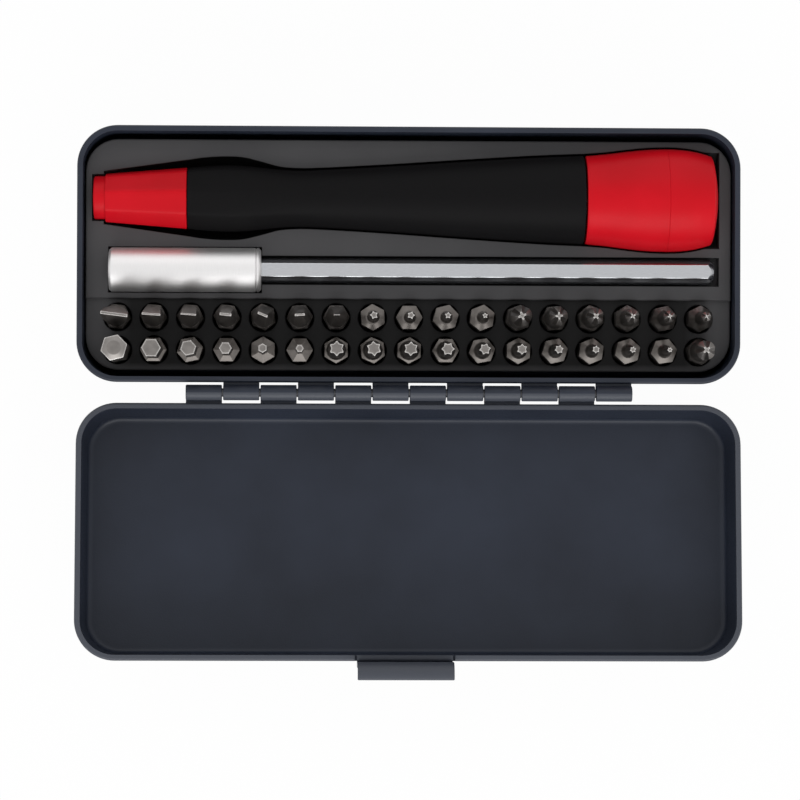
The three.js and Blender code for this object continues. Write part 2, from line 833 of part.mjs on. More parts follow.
function bitPlaces() {
  const places = [];
  for (const y of bitRowYs) {
    for (let column = 0; column < bitColumns; column += 1) {
      places.push({ x: (column - (bitColumns - 1) / 2) * bitPitch, y });
    }
  }
  return places;
}

function polarRing(count, z, radiusAt) {
  const ring = [];
  for (let step = 0; step < count; step += 1) {
    const angle = (fullTurn * step) / count;
    const radius = radiusAt(step);
    ring.push(new THREE.Vector3(radius * Math.cos(angle), radius * Math.sin(angle), z));
  }
  return ring;
}

function roundRing(count, z, radius) {
  return polarRing(count, z, () => radius);
}

// The hexagon shank and its shoulder, turned down to the neck

function bitBody(neckRadius, shoulderZ) {
  const flat = bitAcrossFlats / 2;
  const hexagonAt = (step) => (step % 2 === 0 ? bitCorner : flat);
  const lower = polarRing(bitSides, 0, hexagonAt);
  const upper = polarRing(bitSides, shoulderZ, hexagonAt);
  for (const point of upper.filter((_, step) => step % 2 === 0)) {
    point.z -= bitCorner - flat;
  }
  const rise = (flat - neckRadius) * shoulderSlopeShare;
  const top = roundRing(bitSides, shoulderZ + rise, neckRadius);
  return loftRings([lower, upper, top]);
}

function neckRoot() {
  return bitLength - bitShoulder - overrun;
}

// Slotted: a round root that flattens into a blade

function bladeRing(z, width, thickness) {
  const alongShares = [1, 0.5, 0, -0.5, -1];
  const upper = alongShares.map((share) => new THREE.Vector3((share * width) / 2, thickness / 2, z));
  const lower = alongShares.map((share) => new THREE.Vector3((-share * width) / 2, -thickness / 2, z));
  const right = new THREE.Vector3(width / 2, 0, z);
  const left = new THREE.Vector3(-width / 2, 0, z);
  return [right, ...upper, left, ...lower];
}

function slottedBit(widthShare) {
  const width = widthShare * bitAcrossFlats;
  const thickness = bladeThicknessShare * bitAcrossFlats + bladeThicknessShare * width;
  const neck = bladeRootShare * bitAcrossFlats;
  const tip = loftRings([
    roundRing(bitSides, neckRoot(), neck),
    roundRing(bitSides, neckRoot() + overrun + bladeRiseShare * bitShoulder, neck),
    bladeRing(bitLength - bladeRiseShare * bitShoulder, width, thickness),
    bladeRing(bitLength, width, thickness),
  ]);
  return join([bitBody(neck, bitLength - bitShoulder), tip]);
}

// Star and hexagon keys: a neck a little wider than the key, then the key's straight flutes

function keyTip(points, radius, valleyShare) {
  const count = 2 * points;
  const neck = radius * keyNeckShare;
  const keyLength = Math.min(radius * keyLengthShare, bitShoulder / 3);
  const runOut = (1 - valleyShare) * 2 * radius;
  const starAt = (step) => (step % 2 === 0 ? radius : radius * valleyShare);
  return loftRings([
    roundRing(count, neckRoot(), neck),
    roundRing(count, bitLength - keyLength - runOut, neck),
    polarRing(count, bitLength - keyLength, starAt),
    polarRing(count, bitLength, starAt),
  ]);
}

function keyBit(points, radiusShare, valleyShare) {
  const radius = radiusShare * bitAcrossFlats;
  const neck = Math.min(radius + keyCollarShare * bitAcrossFlats, bladeRootShare * bitAcrossFlats);
  return join([bitBody(neck, bitLength - bitShoulder), keyTip(points, radius, valleyShare)]);
}

function hexBit(widthShare) {
  if (widthShare === 1) {
    const faceRadius = hexFaceShare * bitAcrossFlats;
    return bitBody(faceRadius, bitLength - (bitAcrossFlats / 2 - faceRadius) * shoulderSlopeShare);
  }
  return keyBit(6, widthShare / Math.sqrt(3), Math.sqrt(3) / 2);
}

// Cross: a cone with four wings that run down to a small blunt nose

function crossRing(z, reach, wing, root) {
  const ring = [];
  for (let arm = 0; arm < 4; arm += 1) {
    const angle = (fullTurn * arm) / 4;
    const spread = Math.asin(wing / reach);
    const between = angle + fullTurn / 8;
    for (const [radius, direction] of [[reach, angle - spread], [reach, angle + spread], [root, between]]) {
      ring.push(new THREE.Vector3(radius * Math.cos(direction), radius * Math.sin(direction), z));
    }
  }
  return ring;
}

function crossBit(radiusShare) {
  const radius = radiusShare * bitAcrossFlats;
  const nose = radius * crossNoseShare;
  const coneLength = (radius - nose) * crossConeShare;
  const mouth = bitLength - coneLength;
  const middle = bitLength - coneLength / 3;
  const middleRadius = nose + (radius - nose) / 3;
  const wing = radius * crossWingShare;
  const tip = loftRings([
    roundRing(bitSides, neckRoot(), radius),
    roundRing(bitSides, mouth - radius / 2, radius),
    crossRing(mouth, radius, wing, radius * crossMouthShare),
    crossRing(middle, middleRadius, wing, middleRadius * crossRootShare),
    crossRing(bitLength, nose, wing * crossRootShare, nose * crossRootShare),
  ]);
  const neck = Math.min(radius + keyCollarShare * bitAcrossFlats, bladeRootShare * bitAcrossFlats);
  return join([bitBody(neck, bitLength - bitShoulder), tip]);
}

function bitSolids() {
  const families = [
    ['slotted_bit', slottedWidthShares, slottedBit],
    ['pentalobe_bit', fiveStarRadiusShares, (share) => keyBit(5, share, fiveStarValleyShare)],
    ['cross_bit', crossRadiusShares, crossBit],
    ['hex_bit', hexWidthShares, hexBit],
    ['sixlobe_bit', sixStarRadiusShares, (share) => keyBit(6, share, sixStarValleyShare)],
    ['large_cross_bit', lastCrossRadiusShares, crossBit],
  ];
  return families.flatMap(([family, shares, make]) => {
    return shares.map((share, index) => ({ name: `${family}_${index + 1}`, geometry: make(share) }));
  });
}

function buildBits() {
  const places = bitPlaces();
  return bitSolids().map(({ name, geometry }, index) => {
    const mesh = named(name, geometry, bitSteel);
    mesh.position.set(places[index].x, places[index].y, bitFloor);
    mesh.rotation.z = THREE.MathUtils.degToRad(bitTurnsDegrees[index]);
    return mesh;
  });
}

function buildHandle() {
  const handle = new THREE.Group();
  handle.add(named('handle_core', handleCore(), redPlastic));
  handle.add(named('grip_sleeve', gripSleeve(), blackRubber));
  handle.add(named('bit_socket', bitSocket(), brightSteel));
  handle.add(named('socket_magnet', socketMagnet(), magnetMetal));
  handle.add(named('cap_barrel', capBarrel(), redPlastic));
  handle.add(named('cap_end', capHead(), redPlastic));
  handle.add(named('cap_bush', capBush(), bushPlastic));
  handle.add(named('cap_snap_ring', capClip(), brightSteel));
  handle.position.set(0, handleY, handleZ);
  return handle;
}

function buildHolder() {
  const holder = new THREE.Group();
  holder.add(named('holder_sleeve', holderSleeve(), satinAluminium));
  holder.add(named('holder_shank', holderShank(), brightSteel));
  holder.add(named('holder_magnet', holderMagnet(), magnetMetal));
  holder.position.set(0, holderY, holderZ);
  return holder;
}

function buildCase() {
  const shell = new THREE.Group();
  shell.add(named('base_shell', baseShell(), paintedSheet));
  shell.add(named('bit_tray', bitTray(), trayPlastic));
  const hinge = new THREE.Group();
  hinge.position.set(0, -caseWidth / 2 - hingeOffset, baseDepth + rimGap / 2);
  hinge.add(named('hinge_pin', hingePin(), pinSteel));
  const lid = named('lid_shell', lidShell(), paintedSheet);
  lid.rotation.x = lidOpenAngle - fullTurn / 2;
  hinge.add(lid);
  shell.add(hinge);
  return shell;
}

const group = new THREE.Group();
group.add(buildCase());
group.add(buildHandle());
group.add(buildHolder());
group.add(...buildBits());

export default group;
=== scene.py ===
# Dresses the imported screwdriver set: sheet case, tray, driver, bit holder and bits
import math
import bmesh
import bpy
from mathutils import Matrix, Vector


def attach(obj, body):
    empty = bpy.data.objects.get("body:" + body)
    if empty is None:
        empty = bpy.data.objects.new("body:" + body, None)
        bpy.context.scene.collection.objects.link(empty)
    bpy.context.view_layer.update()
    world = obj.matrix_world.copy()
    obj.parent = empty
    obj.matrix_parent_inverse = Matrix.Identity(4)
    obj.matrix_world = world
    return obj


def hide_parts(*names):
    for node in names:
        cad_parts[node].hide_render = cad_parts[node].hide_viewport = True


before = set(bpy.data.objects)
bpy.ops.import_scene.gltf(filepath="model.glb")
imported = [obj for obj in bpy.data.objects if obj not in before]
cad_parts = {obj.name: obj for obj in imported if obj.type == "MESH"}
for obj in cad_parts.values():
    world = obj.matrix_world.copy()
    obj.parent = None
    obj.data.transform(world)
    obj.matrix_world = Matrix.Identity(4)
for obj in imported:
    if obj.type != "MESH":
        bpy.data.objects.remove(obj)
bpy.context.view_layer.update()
mm = 0.001
hair = 1e-6  # metres: nearer than this counts as touching
sliver = 0.01  # millimetres: length of a sharp step in a turned outline
overshoot = 1.0  # millimetres: how far a cutter or a sunk end runs past the surface

# Camera: straight above, a little left of the middle and towards the hinge
cameraSetup = {
    "place": (-19.511, -35.122, 621.0),
    "turnDegrees": (0.9546, -1.7161, 0.1826),
    "lens": 156.70,
    "sensor": 36.0,
    "nearest": 10.0,
}
cameraData = bpy.data.cameras.new("camera")
cameraData.lens = cameraSetup["lens"]
cameraData.sensor_width = cameraSetup["sensor"]
cameraData.clip_start = cameraSetup["nearest"] * mm
camera = bpy.data.objects.new("camera", cameraData)
camera.location = [value * mm for value in cameraSetup["place"]]
camera.rotation_euler = [math.radians(value) for value in cameraSetup["turnDegrees"]]
bpy.context.scene.collection.objects.link(camera)
bpy.context.scene.camera = camera
bpy.context.scene.view_settings.view_transform = "Standard"
print("camera placed")


# Modelling helpers: start from a primitive, pick by place, shape in edit mode
def letGo():
    if bpy.context.object and bpy.context.object.mode != "OBJECT":
        bpy.ops.object.mode_set(mode="OBJECT")
    bpy.ops.object.select_all(action="DESELECT")


def take(piece):
    letGo()
    piece.select_set(True)
    bpy.context.view_layer.objects.active = piece


def settle(piece):
    take(piece)
    bpy.ops.object.transform_apply(location=True, rotation=True, scale=True)
    return piece


def moveTo(piece, place, turnDegrees=(0, 0, 0)):
    piece.rotation_euler = [math.radians(value) for value in turnDegrees]
    piece.location = [value * mm for value in place]
    return settle(piece)


def startBlock(name, low, high):
    letGo()
    middle = [(a + b) / 2 * mm for a, b in zip(low, high)]
    bpy.ops.mesh.primitive_cube_add(size=1, location=middle)
    piece = bpy.context.object
    piece.name = name
    piece.scale = [abs(b - a) * mm for a, b in zip(low, high)]
    return settle(piece)


def startDisc(name, along, place, radius, sides):
    # its first corner points along +Y on an X disc, and along +X on a Z disc
    letGo()
    tilt = (0, math.pi / 2, 0) if along == "X" else (0, 0, 0)
    bpy.ops.mesh.primitive_circle_add(
        vertices=sides, radius=radius * mm, fill_type="NGON", rotation=tilt
    )
    piece = bpy.context.object
    piece.name = name
    settle(piece)
    first = piece.data.vertices[0].co
    if along == "X":
        piece.rotation_euler = (-math.atan2(first.z, first.y), 0, 0)
        piece.location = (place * mm, 0, 0)
    else:
        piece.rotation_euler = (0, 0, -math.atan2(first.y, first.x))
        piece.location = (0, 0, place * mm)
    return settle(piece)


def edit(piece):
    take(piece)
    bpy.ops.object.mode_set(mode="EDIT")


def done():
    bpy.ops.object.mode_set(mode="OBJECT")


def pick(kind, test):
    bpy.ops.mesh.select_mode(type=kind)
    bpy.ops.mesh.select_all(action="DESELECT")
    mesh = bmesh.from_edit_mesh(bpy.context.object.data)
    group = {"VERT": mesh.verts, "EDGE": mesh.edges, "FACE": mesh.faces}[kind]
    for item in group:
        if test(item):
            item.select_set(True)
    mesh.select_flush_mode()
    bmesh.update_edit_mesh(bpy.context.object.data)


def pickAll():
    bpy.ops.mesh.select_all(action="SELECT")


def level(item, axis, value, slack=0.002):
    return all(abs(vertex.co[axis] - value * mm) < slack * mm for vertex in item.verts)


def rise(edge):
    return abs(edge.verts[0].co.z - edge.verts[1].co.z) / mm


def upright(edge, least=5.0):
    return rise(edge) > least


def sharp(edge, least):
    # least: the smallest turn between its faces, in radians, that counts
    return edge.calc_face_angle(0) > least


def bevelPicked(width, steps=3, kind="EDGES"):
    bpy.ops.mesh.bevel(offset=width * mm, segments=steps, affect=kind)


def insetPicked(inset, halfLength, halfWidth, centre):
    scalePicked((1 - inset / halfLength, 1 - inset / halfWidth, 1), centre)


def extrudeBy(x, y, z):
    bpy.ops.mesh.extrude_region_move(TRANSFORM_OT_translate={"value": (x * mm, y * mm, z * mm)})


def scalePicked(factors, centre):
    bpy.ops.transform.resize(value=factors, center_override=[value * mm for value in centre])


def widenPicked(axis, place, factor):
    if axis == "X":
        scalePicked((1, factor, factor), (place, 0, 0))
    else:
        scalePicked((factor, factor, 1), (0, 0, place))


def fitPicked(axis, place, radius):
    # the farthest picked corner ends up at that radius from the axis
    first, second = (1, 2) if axis == "X" else (0, 1)
    mesh = bmesh.from_edit_mesh(bpy.context.object.data)
    reach = max(math.hypot(spot.co[first], spot.co[second]) for spot in mesh.verts if spot.select)
    widenPicked(axis, place, radius * mm / reach)


def growAlong(axis, stations):
    # the picked face is extruded to each (place, radius) in turn
    place, radius = stations[0]
    for nextPlace, nextRadius in stations[1:]:
        step = nextPlace - place
        extrudeBy(*((step, 0, 0) if axis == "X" else (0, 0, step)))
        widenPicked(axis, nextPlace, nextRadius / radius)
        place, radius = nextPlace, nextRadius


def outward(piece):
    edit(piece)
    pickAll()
    bpy.ops.mesh.remove_doubles(threshold=hair / 10)
    bpy.ops.mesh.normals_make_consistent(inside=False)
    done()


def turned(name, stations, sides=96, axis="X"):
    # a closed solid turned about the axis through (place, radius) stations
    piece = startDisc(name, axis, stations[0][0], stations[0][1], sides)
    edit(piece)
    pickAll()
    growAlong(axis, stations)
    done()
    outward(piece)
    return piece


def fairCurve(points, steps=4):
    # a smooth curve through the given places, with that many steps between each two
    curve = []
    for index in range(len(points) - 1):
        before = points[max(index - 1, 0)]
        start, end = points[index], points[index + 1]
        after = points[min(index + 2, len(points) - 1)]
        span = end[0] - start[0]
        slopeIn = (end[1] - before[1]) / (end[0] - before[0])
        slopeOut = (after[1] - start[1]) / (after[0] - start[0])
        for step in range(steps):
            t = step / steps
            value = (
                (2 * t ** 3 - 3 * t ** 2 + 1) * start[1]
                + (t ** 3 - 2 * t ** 2 + t) * span * slopeIn
                + (3 * t ** 2 - 2 * t ** 3) * end[1]
                + (t ** 3 - t ** 2) * span * slopeOut
            )
            curve.append((start[0] + t * span, value))
    curve.append(points[-1])
    return curve


def applyModifier(piece, kind, **settings):
    take(piece)
    modifier = piece.modifiers.new(kind.lower(), kind)
    for key, value in settings.items():
        setattr(modifier, key, value)
    bpy.ops.object.modifier_apply(modifier=modifier.name)


def thicken(piece, thickness):
    # inwards, away from the side that the faces point to
    applyModifier(piece, "SOLIDIFY", thickness=thickness * mm, offset=-1, use_even_offset=True)


def carve(piece, cutter, operation="DIFFERENCE"):
    applyModifier(piece, "BOOLEAN", object=cutter, operation=operation, solver="EXACT")
    bpy.data.objects.remove(cutter)


def joinInto(piece, others):
    take(piece)
    for other in others:
        other.select_set(True)
    bpy.ops.object.join()
    return piece


def duplicate(piece, name, shift, turnDegrees=(0, 0, 0)):
    twin = piece.copy()
    twin.data = piece.data.copy()
    twin.name = name
    bpy.context.scene.collection.objects.link(twin)
    return moveTo(twin, shift, turnDegrees)


def smooth(piece, degrees=28):
    take(piece)
    bpy.ops.object.shade_smooth_by_angle(angle=math.radians(degrees))


def finishPiece(piece, body, slotName, nodeName):
    piece.data.materials.clear()
    piece.data.materials.append(finishes[slotName])
    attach(piece, body)
    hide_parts(nodeName)


# Case: sizes of the sheet pans and of the hinge between them
case = {
    "length": 114.58, "width": 44.297, "cornerRadius": 7.0, "cornerSteps": 18,
    "sheet": 1.0, "draft": 0.6, "fold": 2.0, "foldSteps": 8,
    "rimRound": 0.485, "rimSteps": 8, "sharp": 0.5, "smoothing": 40,
    "baseDepth": 21.5, "lidDepth": 11.5, "rimGap": 0.3, "openDegrees": -5.0,
}
hinge = {
    "offset": 1.75, "length": 77.1, "knuckles": 12, "gap": 0.22, "radius": 1.34, "sheet": 0.56,
    "mouthDegrees": 50, "steps": 28, "edge": 0.16, "sharp": 0.6,
}
# the hinge's axis, which the painted rim highlight reads too
hingeY = -(case["width"] / 2 + hinge["offset"])
hingeZ = case["baseDepth"] + case["rimGap"] / 2


# Finishes: short helpers for the node trees
def newFinish(name):
    finish = bpy.data.materials.new(name)
    finish.use_nodes = True
    return finish, finish.node_tree, finish.node_tree.nodes["Principled BSDF"]


def feed(tree, socket, value):
    # value is another node's socket, or a plain number, vector or colour
    if isinstance(value, bpy.types.NodeSocket):
        tree.links.new(value, socket)
    else:
        socket.default_value = value


def setInputs(node, values):
    for socketName, value in values.items():
        node.inputs[socketName].default_value = value


def objectPoints(tree, stretch=(1, 1, 1)):
    coordinates = tree.nodes.new("ShaderNodeTexCoord")
    mapping = tree.nodes.new("ShaderNodeMapping")
    mapping.inputs["Scale"].default_value = stretch
    tree.links.new(coordinates.outputs["Object"], mapping.inputs["Vector"])
    return mapping.outputs["Vector"]


def partOf(tree, vector, axis):
    parts = tree.nodes.new("ShaderNodeSeparateXYZ")
    tree.links.new(vector, parts.inputs["Vector"])
    return parts.outputs[axis]


def mathOf(tree, operation, *values):
    total = tree.nodes.new("ShaderNodeMath")
    total.operation = operation
    for socket, value in zip(total.inputs, values):
        feed(tree, socket, value)
    return total.outputs[0]


def dotOf(tree, first, second):
    dot = tree.nodes.new("ShaderNodeVectorMath")
    dot.operation = "DOT_PRODUCT"
    feed(tree, dot.inputs[0], first)
    feed(tree, dot.inputs[1], second)
    return dot.outputs["Value"]


def noiseOf(tree, points, scale, detail=2.0):
    noise = tree.nodes.new("ShaderNodeTexNoise")
    setInputs(noise, {"Scale": scale, "Detail": detail})
    tree.links.new(points, noise.inputs["Vector"])
    return noise.outputs["Fac"]


def mottled(tree, noise, dark, light, stops=(0.3, 0.7)):
    ramp = tree.nodes.new("ShaderNodeValToRGB")
    for element, place, colour in zip(ramp.color_ramp.elements, stops, (dark, light)):
        element.position = place
        element.color = (*colour, 1.0)
    tree.links.new(noise, ramp.inputs["Fac"])
    return ramp.outputs["Color"]


def rangeOf(tree, factor, low, high, fromLow=0.3, fromHigh=0.7):
    # a noise stays nearly always within the first range
    span = tree.nodes.new("ShaderNodeMapRange")
    setInputs(span, {"From Min": fromLow, "From Max": fromHigh, "To Min": low, "To Max": high})
    tree.links.new(factor, span.inputs["Value"])
    return span.outputs["Result"]


def spanOf(tree, factor, low, high, ends):
    # as rangeOf, between two places in millimetres
    return rangeOf(tree, factor, low, high, ends[0] * mm, ends[1] * mm)


def blendOf(tree, factor, first, second, kind="RGBA"):
    # a Mix node's colour sockets are numbers 6, 7 and 2, its plain ones 2, 3 and 0
    mix = tree.nodes.new("ShaderNodeMix")
    mix.data_type = kind
    low, high, out = (6, 7, 2) if kind == "RGBA" else (2, 3, 0)
    for place, value in ((0, factor), (low, first), (high, second)):
        feed(tree, mix.inputs[place], value)
    return mix.outputs[out]


def bumpOf(tree, height, strength, distance, normal=None):
    bump = tree.nodes.new("ShaderNodeBump")
    setInputs(bump, {"Strength": strength, "Distance": distance})
    tree.links.new(height, bump.inputs["Height"])
    if normal is not None:
        tree.links.new(normal, bump.inputs["Normal"])
    return bump.outputs["Normal"]


def roundedEdges(tree, radius, samples=6):
    bevel = tree.nodes.new("ShaderNodeBevel")
    bevel.samples = samples
    bevel.inputs["Radius"].default_value = radius
    return bevel.outputs["Normal"]


def heightOver(tree, points, y, z, turnDegrees):
    # height over a plane along X through (y, z), turned about it
    turn = math.radians(turnDegrees)
    along = dotOf(tree, points, (0, -math.sin(turn), math.cos(turn)))
    return mathOf(tree, "SUBTRACT", along, (z * math.cos(turn) - y * math.sin(turn)) * mm)


def grainedFinish(name, look, tint=None):
    # the cloud mottles the tone, or the grain does where there is none; the grain roughens
    # grain and cloud: scale and detail of a noise; bump: strength and depth in metres
    finish, tree, shader = newFinish(name)
    points = objectPoints(tree, look.get("stretch", (1, 1, 1)))
    grain = noiseOf(tree, points, *look["grain"])
    cloud = noiseOf(tree, points, *look["cloud"]) if "cloud" in look else grain
    colour = mottled(tree, cloud, look["dark"], look["light"])
    if tint:
        colour = tint(tree, colour)
    tree.links.new(colour, shader.inputs["Base Color"])
    tree.links.new(rangeOf(tree, grain, *look["roughness"]), shader.inputs["Roughness"])
    edges = roundedEdges(tree, look["edgeRound"]) if "edgeRound" in look else None
    tree.links.new(bumpOf(tree, grain, *look["bump"], edges), shader.inputs["Normal"])
    for socketName in ("Specular IOR Level", "Metallic"):
        if socketName in look:
            shader.inputs[socketName].default_value = look[socketName]
    return finish


# Powder coat of the case: dark blue-grey with a very fine orange-peel grain
powderCoat = {
    "light": (0.0225, 0.0285, 0.045), "dark": (0.0145, 0.0185, 0.030),
    "cloud": (60.0, 3.0), "grain": (3500.0, 2.0), "roughness": (0.32, 0.42),
    "bump": (0.35, 0.00006), "Specular IOR Level": 0.25,
}
# painted highlight on the rims: its tone, the band below the rim that it spans, the base's share
# and the blend across the hinge
rimHighlight = {
    "tone": (0.062, 0.068, 0.084), "heights": (-0.7, -0.25), "baseShare": 0.1, "blend": 0.1,
}


def paintedRimHighlight(tree, colour):
    # painted highlight: rims, rolls and the latch's lip are lightened where they catch the light,
    # fully on the lid and only a tenth as much on the base
    points = objectPoints(tree)
    rims = []
    for turn, share in ((case["openDegrees"], 1.0), (0.0, rimHighlight["baseShare"])):
        height = heightOver(tree, points, hingeY, hingeZ, turn)
        rims.append(spanOf(tree, height, 0.0, share, rimHighlight["heights"]))
    parting = (hingeY - rimHighlight["blend"], hingeY + rimHighlight["blend"])
    baseSide = spanOf(tree, partOf(tree, points, "Y"), 0.0, 1.0, parting)
    return blendOf(tree, blendOf(tree, baseSide, *rims, "FLOAT"), colour, (*rimHighlight["tone"], 1))


# Moulded tray: painted shade below the deck, on the bits' strip and in the pockets, between the
# strip's two ends
trayPlastic = {
    "light": (0.080, 0.079, 0.082), "dark": (0.070, 0.069, 0.072),
    "cloud": (90.0, 2.0), "grain": (5000.0, 1.0), "roughness": (0.4, 0.52),
    "bump": (0.3, 0.00004), "edgeRound": 0.0002, "Specular IOR Level": 0.12,
}
# painted shade: its tone, and the heights, ends and front margin over which it fades in
stripShade = {
    "tone": (0.012, 0.0118, 0.012), "deck": (17.7, 18.3), "ends": (48, 52), "side": (-19.9, -18.7),
}


def paintedStripShade(tree, colour):
    # painted shade where the bits and pockets keep the light out: darker below the deck, between
    # the ends, up to the strip's front margin
    points = objectPoints(tree)
    sideways = mathOf(tree, "ABSOLUTE", partOf(tree, points, "X"))
    deep = spanOf(tree, partOf(tree, points, "Z"), 1.0, 0.0, stripShade["deck"])
    inner = spanOf(tree, sideways, 1.0, 0.0, stripShade["ends"])
    above = spanOf(tree, partOf(tree, points, "Y"), 0.0, 1.0, stripShade["side"])
    share = mathOf(tree, "MULTIPLY", mathOf(tree, "MULTIPLY", deep, inner), above)
    return blendOf(tree, share, colour, (*stripShade["tone"], 1))


# Driver: red plastic with soft moulded edges, black rubber with a fine texture
redPlastic = {
    "light": (0.64, 0.0042, 0.013), "dark": (0.575, 0.0032, 0.010),
    "cloud": (120.0, 2.0), "grain": (2600.0, 1.0), "roughness": (0.36, 0.46),
    "bump": (0.12, 0.00003), "edgeRound": 0.00012, "Specular IOR Level": 0.13,
}
gripRubber = {
    "light": (0.0062, 0.0058, 0.0062), "dark": (0.0042, 0.004, 0.0044),
    "grain": (4200.0, 2.0), "roughness": (0.5, 0.62),
    "bump": (0.25, 0.00004), "Specular IOR Level": 0.07,
}
bushAcetal = {
    "light": (0.8, 0.78, 0.73), "dark": (0.74, 0.72, 0.67), "cloud": 400.0, "roughness": 0.45,
}


def bushFinish():
    finish, tree, shader = newFinish("bushAcetal")
    cloud = noiseOf(tree, objectPoints(tree), bushAcetal["cloud"])
    colour = mottled(tree, cloud, bushAcetal["dark"], bushAcetal["light"])
    tree.links.new(colour, shader.inputs["Base Color"])
    shader.inputs["Roughness"].default_value = bushAcetal["roughness"]
    return finish


# Metals: fine streaks along the way they are drawn or turned
metalStreaks = {
    "grain": (900.0, 3.0), "bump": (0.1, 0.00002), "edgeRound": 0.0001, "Metallic": 1.0,
}


def metalFinish(name, light, dark, roughness, stretch=(1, 1, 1), tint=None):
    tone = {"light": light, "dark": dark, "roughness": roughness, "stretch": stretch}
    return grainedFinish(name, {**metalStreaks, **tone}, tint)


# Black steel of the bits: darker body, ends and edges of the tips ground bright
tipWear = {
    "tone": (0.66, 0.64, 0.62), "radius": 0.00042, "samples": 8,
    "edgeMatch": (0.998, 0.92), "flat": (0.92, 0.99), "coneShare": 0.17, "faceShare": 0.1,
    "upward": (0.42, 0.85), "heights": (28.5, 29.7),
}


def groundTips(tree, colour):
    # an edge shows where the rounded normal leaves the plain one, a flat face by looking upwards
    normal = tree.nodes.new("ShaderNodeNewGeometry").outputs["Normal"]
    match = dotOf(tree, roundedEdges(tree, tipWear["radius"], tipWear["samples"]), normal)
    worn = rangeOf(tree, match, 0.0, 1.0, *tipWear["edgeMatch"])
    up = partOf(tree, normal, "Z")
    plain = rangeOf(tree, up, tipWear["coneShare"], tipWear["faceShare"], *tipWear["flat"])
    facing = rangeOf(tree, up, 0.0, 1.0, *tipWear["upward"])
    bright = mathOf(tree, "MULTIPLY", mathOf(tree, "MAXIMUM", worn, plain), facing)
    near = spanOf(tree, partOf(tree, objectPoints(tree), "Z"), 0.0, 1.0, tipWear["heights"])
    return blendOf(tree, mathOf(tree, "MULTIPLY", bright, near), colour, (*tipWear["tone"], 1))


finishes = {
    "case_paint": grainedFinish("powderCoat", powderCoat, paintedRimHighlight),
    "tray_plastic": grainedFinish("trayPlastic", trayPlastic, paintedStripShade),
    "handle_red": grainedFinish("redPlastic", redPlastic),
    "grip_rubber": grainedFinish("gripRubber", gripRubber),
    "bush_plastic": bushFinish(),
    "pin_steel": metalFinish(
        "pinSteel", (0.12, 0.12, 0.125), (0.08, 0.08, 0.084), (0.4, 0.5), (1, 20, 20)
    ),
    "socket_steel": metalFinish(
        "socketSteel", (0.62, 0.62, 0.63), (0.52, 0.52, 0.53), (0.2, 0.3), (20, 1, 1)
    ),
    "magnet": metalFinish("magnetNickel", (0.5, 0.49, 0.47), (0.42, 0.41, 0.4), (0.25, 0.35)),
    "sleeve_aluminium": metalFinish(
        "satinAluminium", (0.80, 0.79, 0.79), (0.75, 0.74, 0.74), (0.46, 0.54), (30, 1, 1)
    ),
    "shank_steel": metalFinish(
        "drawnSteel", (0.50, 0.51, 0.53), (0.44, 0.45, 0.47), (0.16, 0.26), (1, 30, 30)
    ),
    "bit_steel": metalFinish(
        "bitSteel", (0.17, 0.156, 0.146), (0.115, 0.105, 0.098), (0.38, 0.48), (1, 1, 0.2),
        groundTips,
    ),
}
print("finishes made")


# Drawn pan: a block with rounded corners, open on top, drafted, folded and given a thickness
def drawnPan(name, depth, middleY, rimZ):
    halfLength, halfWidth = case["length"] / 2, case["width"] / 2
    floorZ = rimZ - depth
    low = (-halfLength, middleY - halfWidth, floorZ)
    pan = startBlock(name, low, (halfLength, middleY + halfWidth, rimZ))
    edit(pan)
    pick("EDGE", lambda edge: upright(edge, depth / 2))
    bevelPicked(case["cornerRadius"], case["cornerSteps"])
    pick("FACE", lambda face: level(face, 2, rimZ))
    bpy.ops.mesh.delete(type="ONLY_FACE")
    pick("VERT", lambda vertex: abs(vertex.co.z - floorZ * mm) < hair)
    insetPicked(case["draft"], halfLength, halfWidth, (0, middleY, floorZ))
    pick("EDGE", lambda edge: level(edge, 2, floorZ))
    bevelPicked(case["fold"], case["foldSteps"])
    done()
    thicken(pan, case["sheet"])
    edit(pan)
    pick("EDGE", lambda edge: level(edge, 2, rimZ) and sharp(edge, case["sharp"]))
    bevelPicked(case["rimRound"], case["rimSteps"])
    done()
    smooth(pan, case["smoothing"])
    return pan


# Rolled knuckle: a strip of the sheet curls round the pin; side is +1 where the wall is at +Y
def rolledKnuckle(side):
    outer, inner = hinge["radius"], hinge["radius"] - hinge["sheet"]
    leaf = hinge["offset"] + case["sheet"] / 2
    half = (hinge["length"] / hinge["knuckles"] - hinge["gap"]) / 2
    strip = startBlock("knuckle", (-half, 0, -outer), (half, side * leaf, -inner))
    edit(strip)
    pick("FACE", lambda face: level(face, 1, 0.0))
    sweep = math.radians(360 - hinge["mouthDegrees"])
    bpy.ops.mesh.spin(
        steps=hinge["steps"], angle=side * sweep, center=(0, 0, 0), axis=(-1, 0, 0), dupli=False
    )
    done()
    outward(strip)
    edit(strip)
    # soft sheared ends of the roll
    pick("EDGE", lambda edge: (
        (level(edge, 0, -half) or level(edge, 0, half)) and sharp(edge, hinge["sharp"])
    ))
    bevelPicked(hinge["edge"])
    done()
    smooth(strip, case["smoothing"])
    return strip


def knuckleRow(side):
    # one knuckle is modelled and copied along the pin
    pitch = hinge["length"] / hinge["knuckles"]
    model = rolledKnuckle(side)
    rolls = []
    for place in range(1 if side > 0 else 0, hinge["knuckles"], 2):
        middle = -hinge["length"] / 2 + (place + 0.5) * pitch
        rolls.append(duplicate(model, f"knuckle{place}", (middle, 0, 0)))
    bpy.data.objects.remove(model)
    return rolls


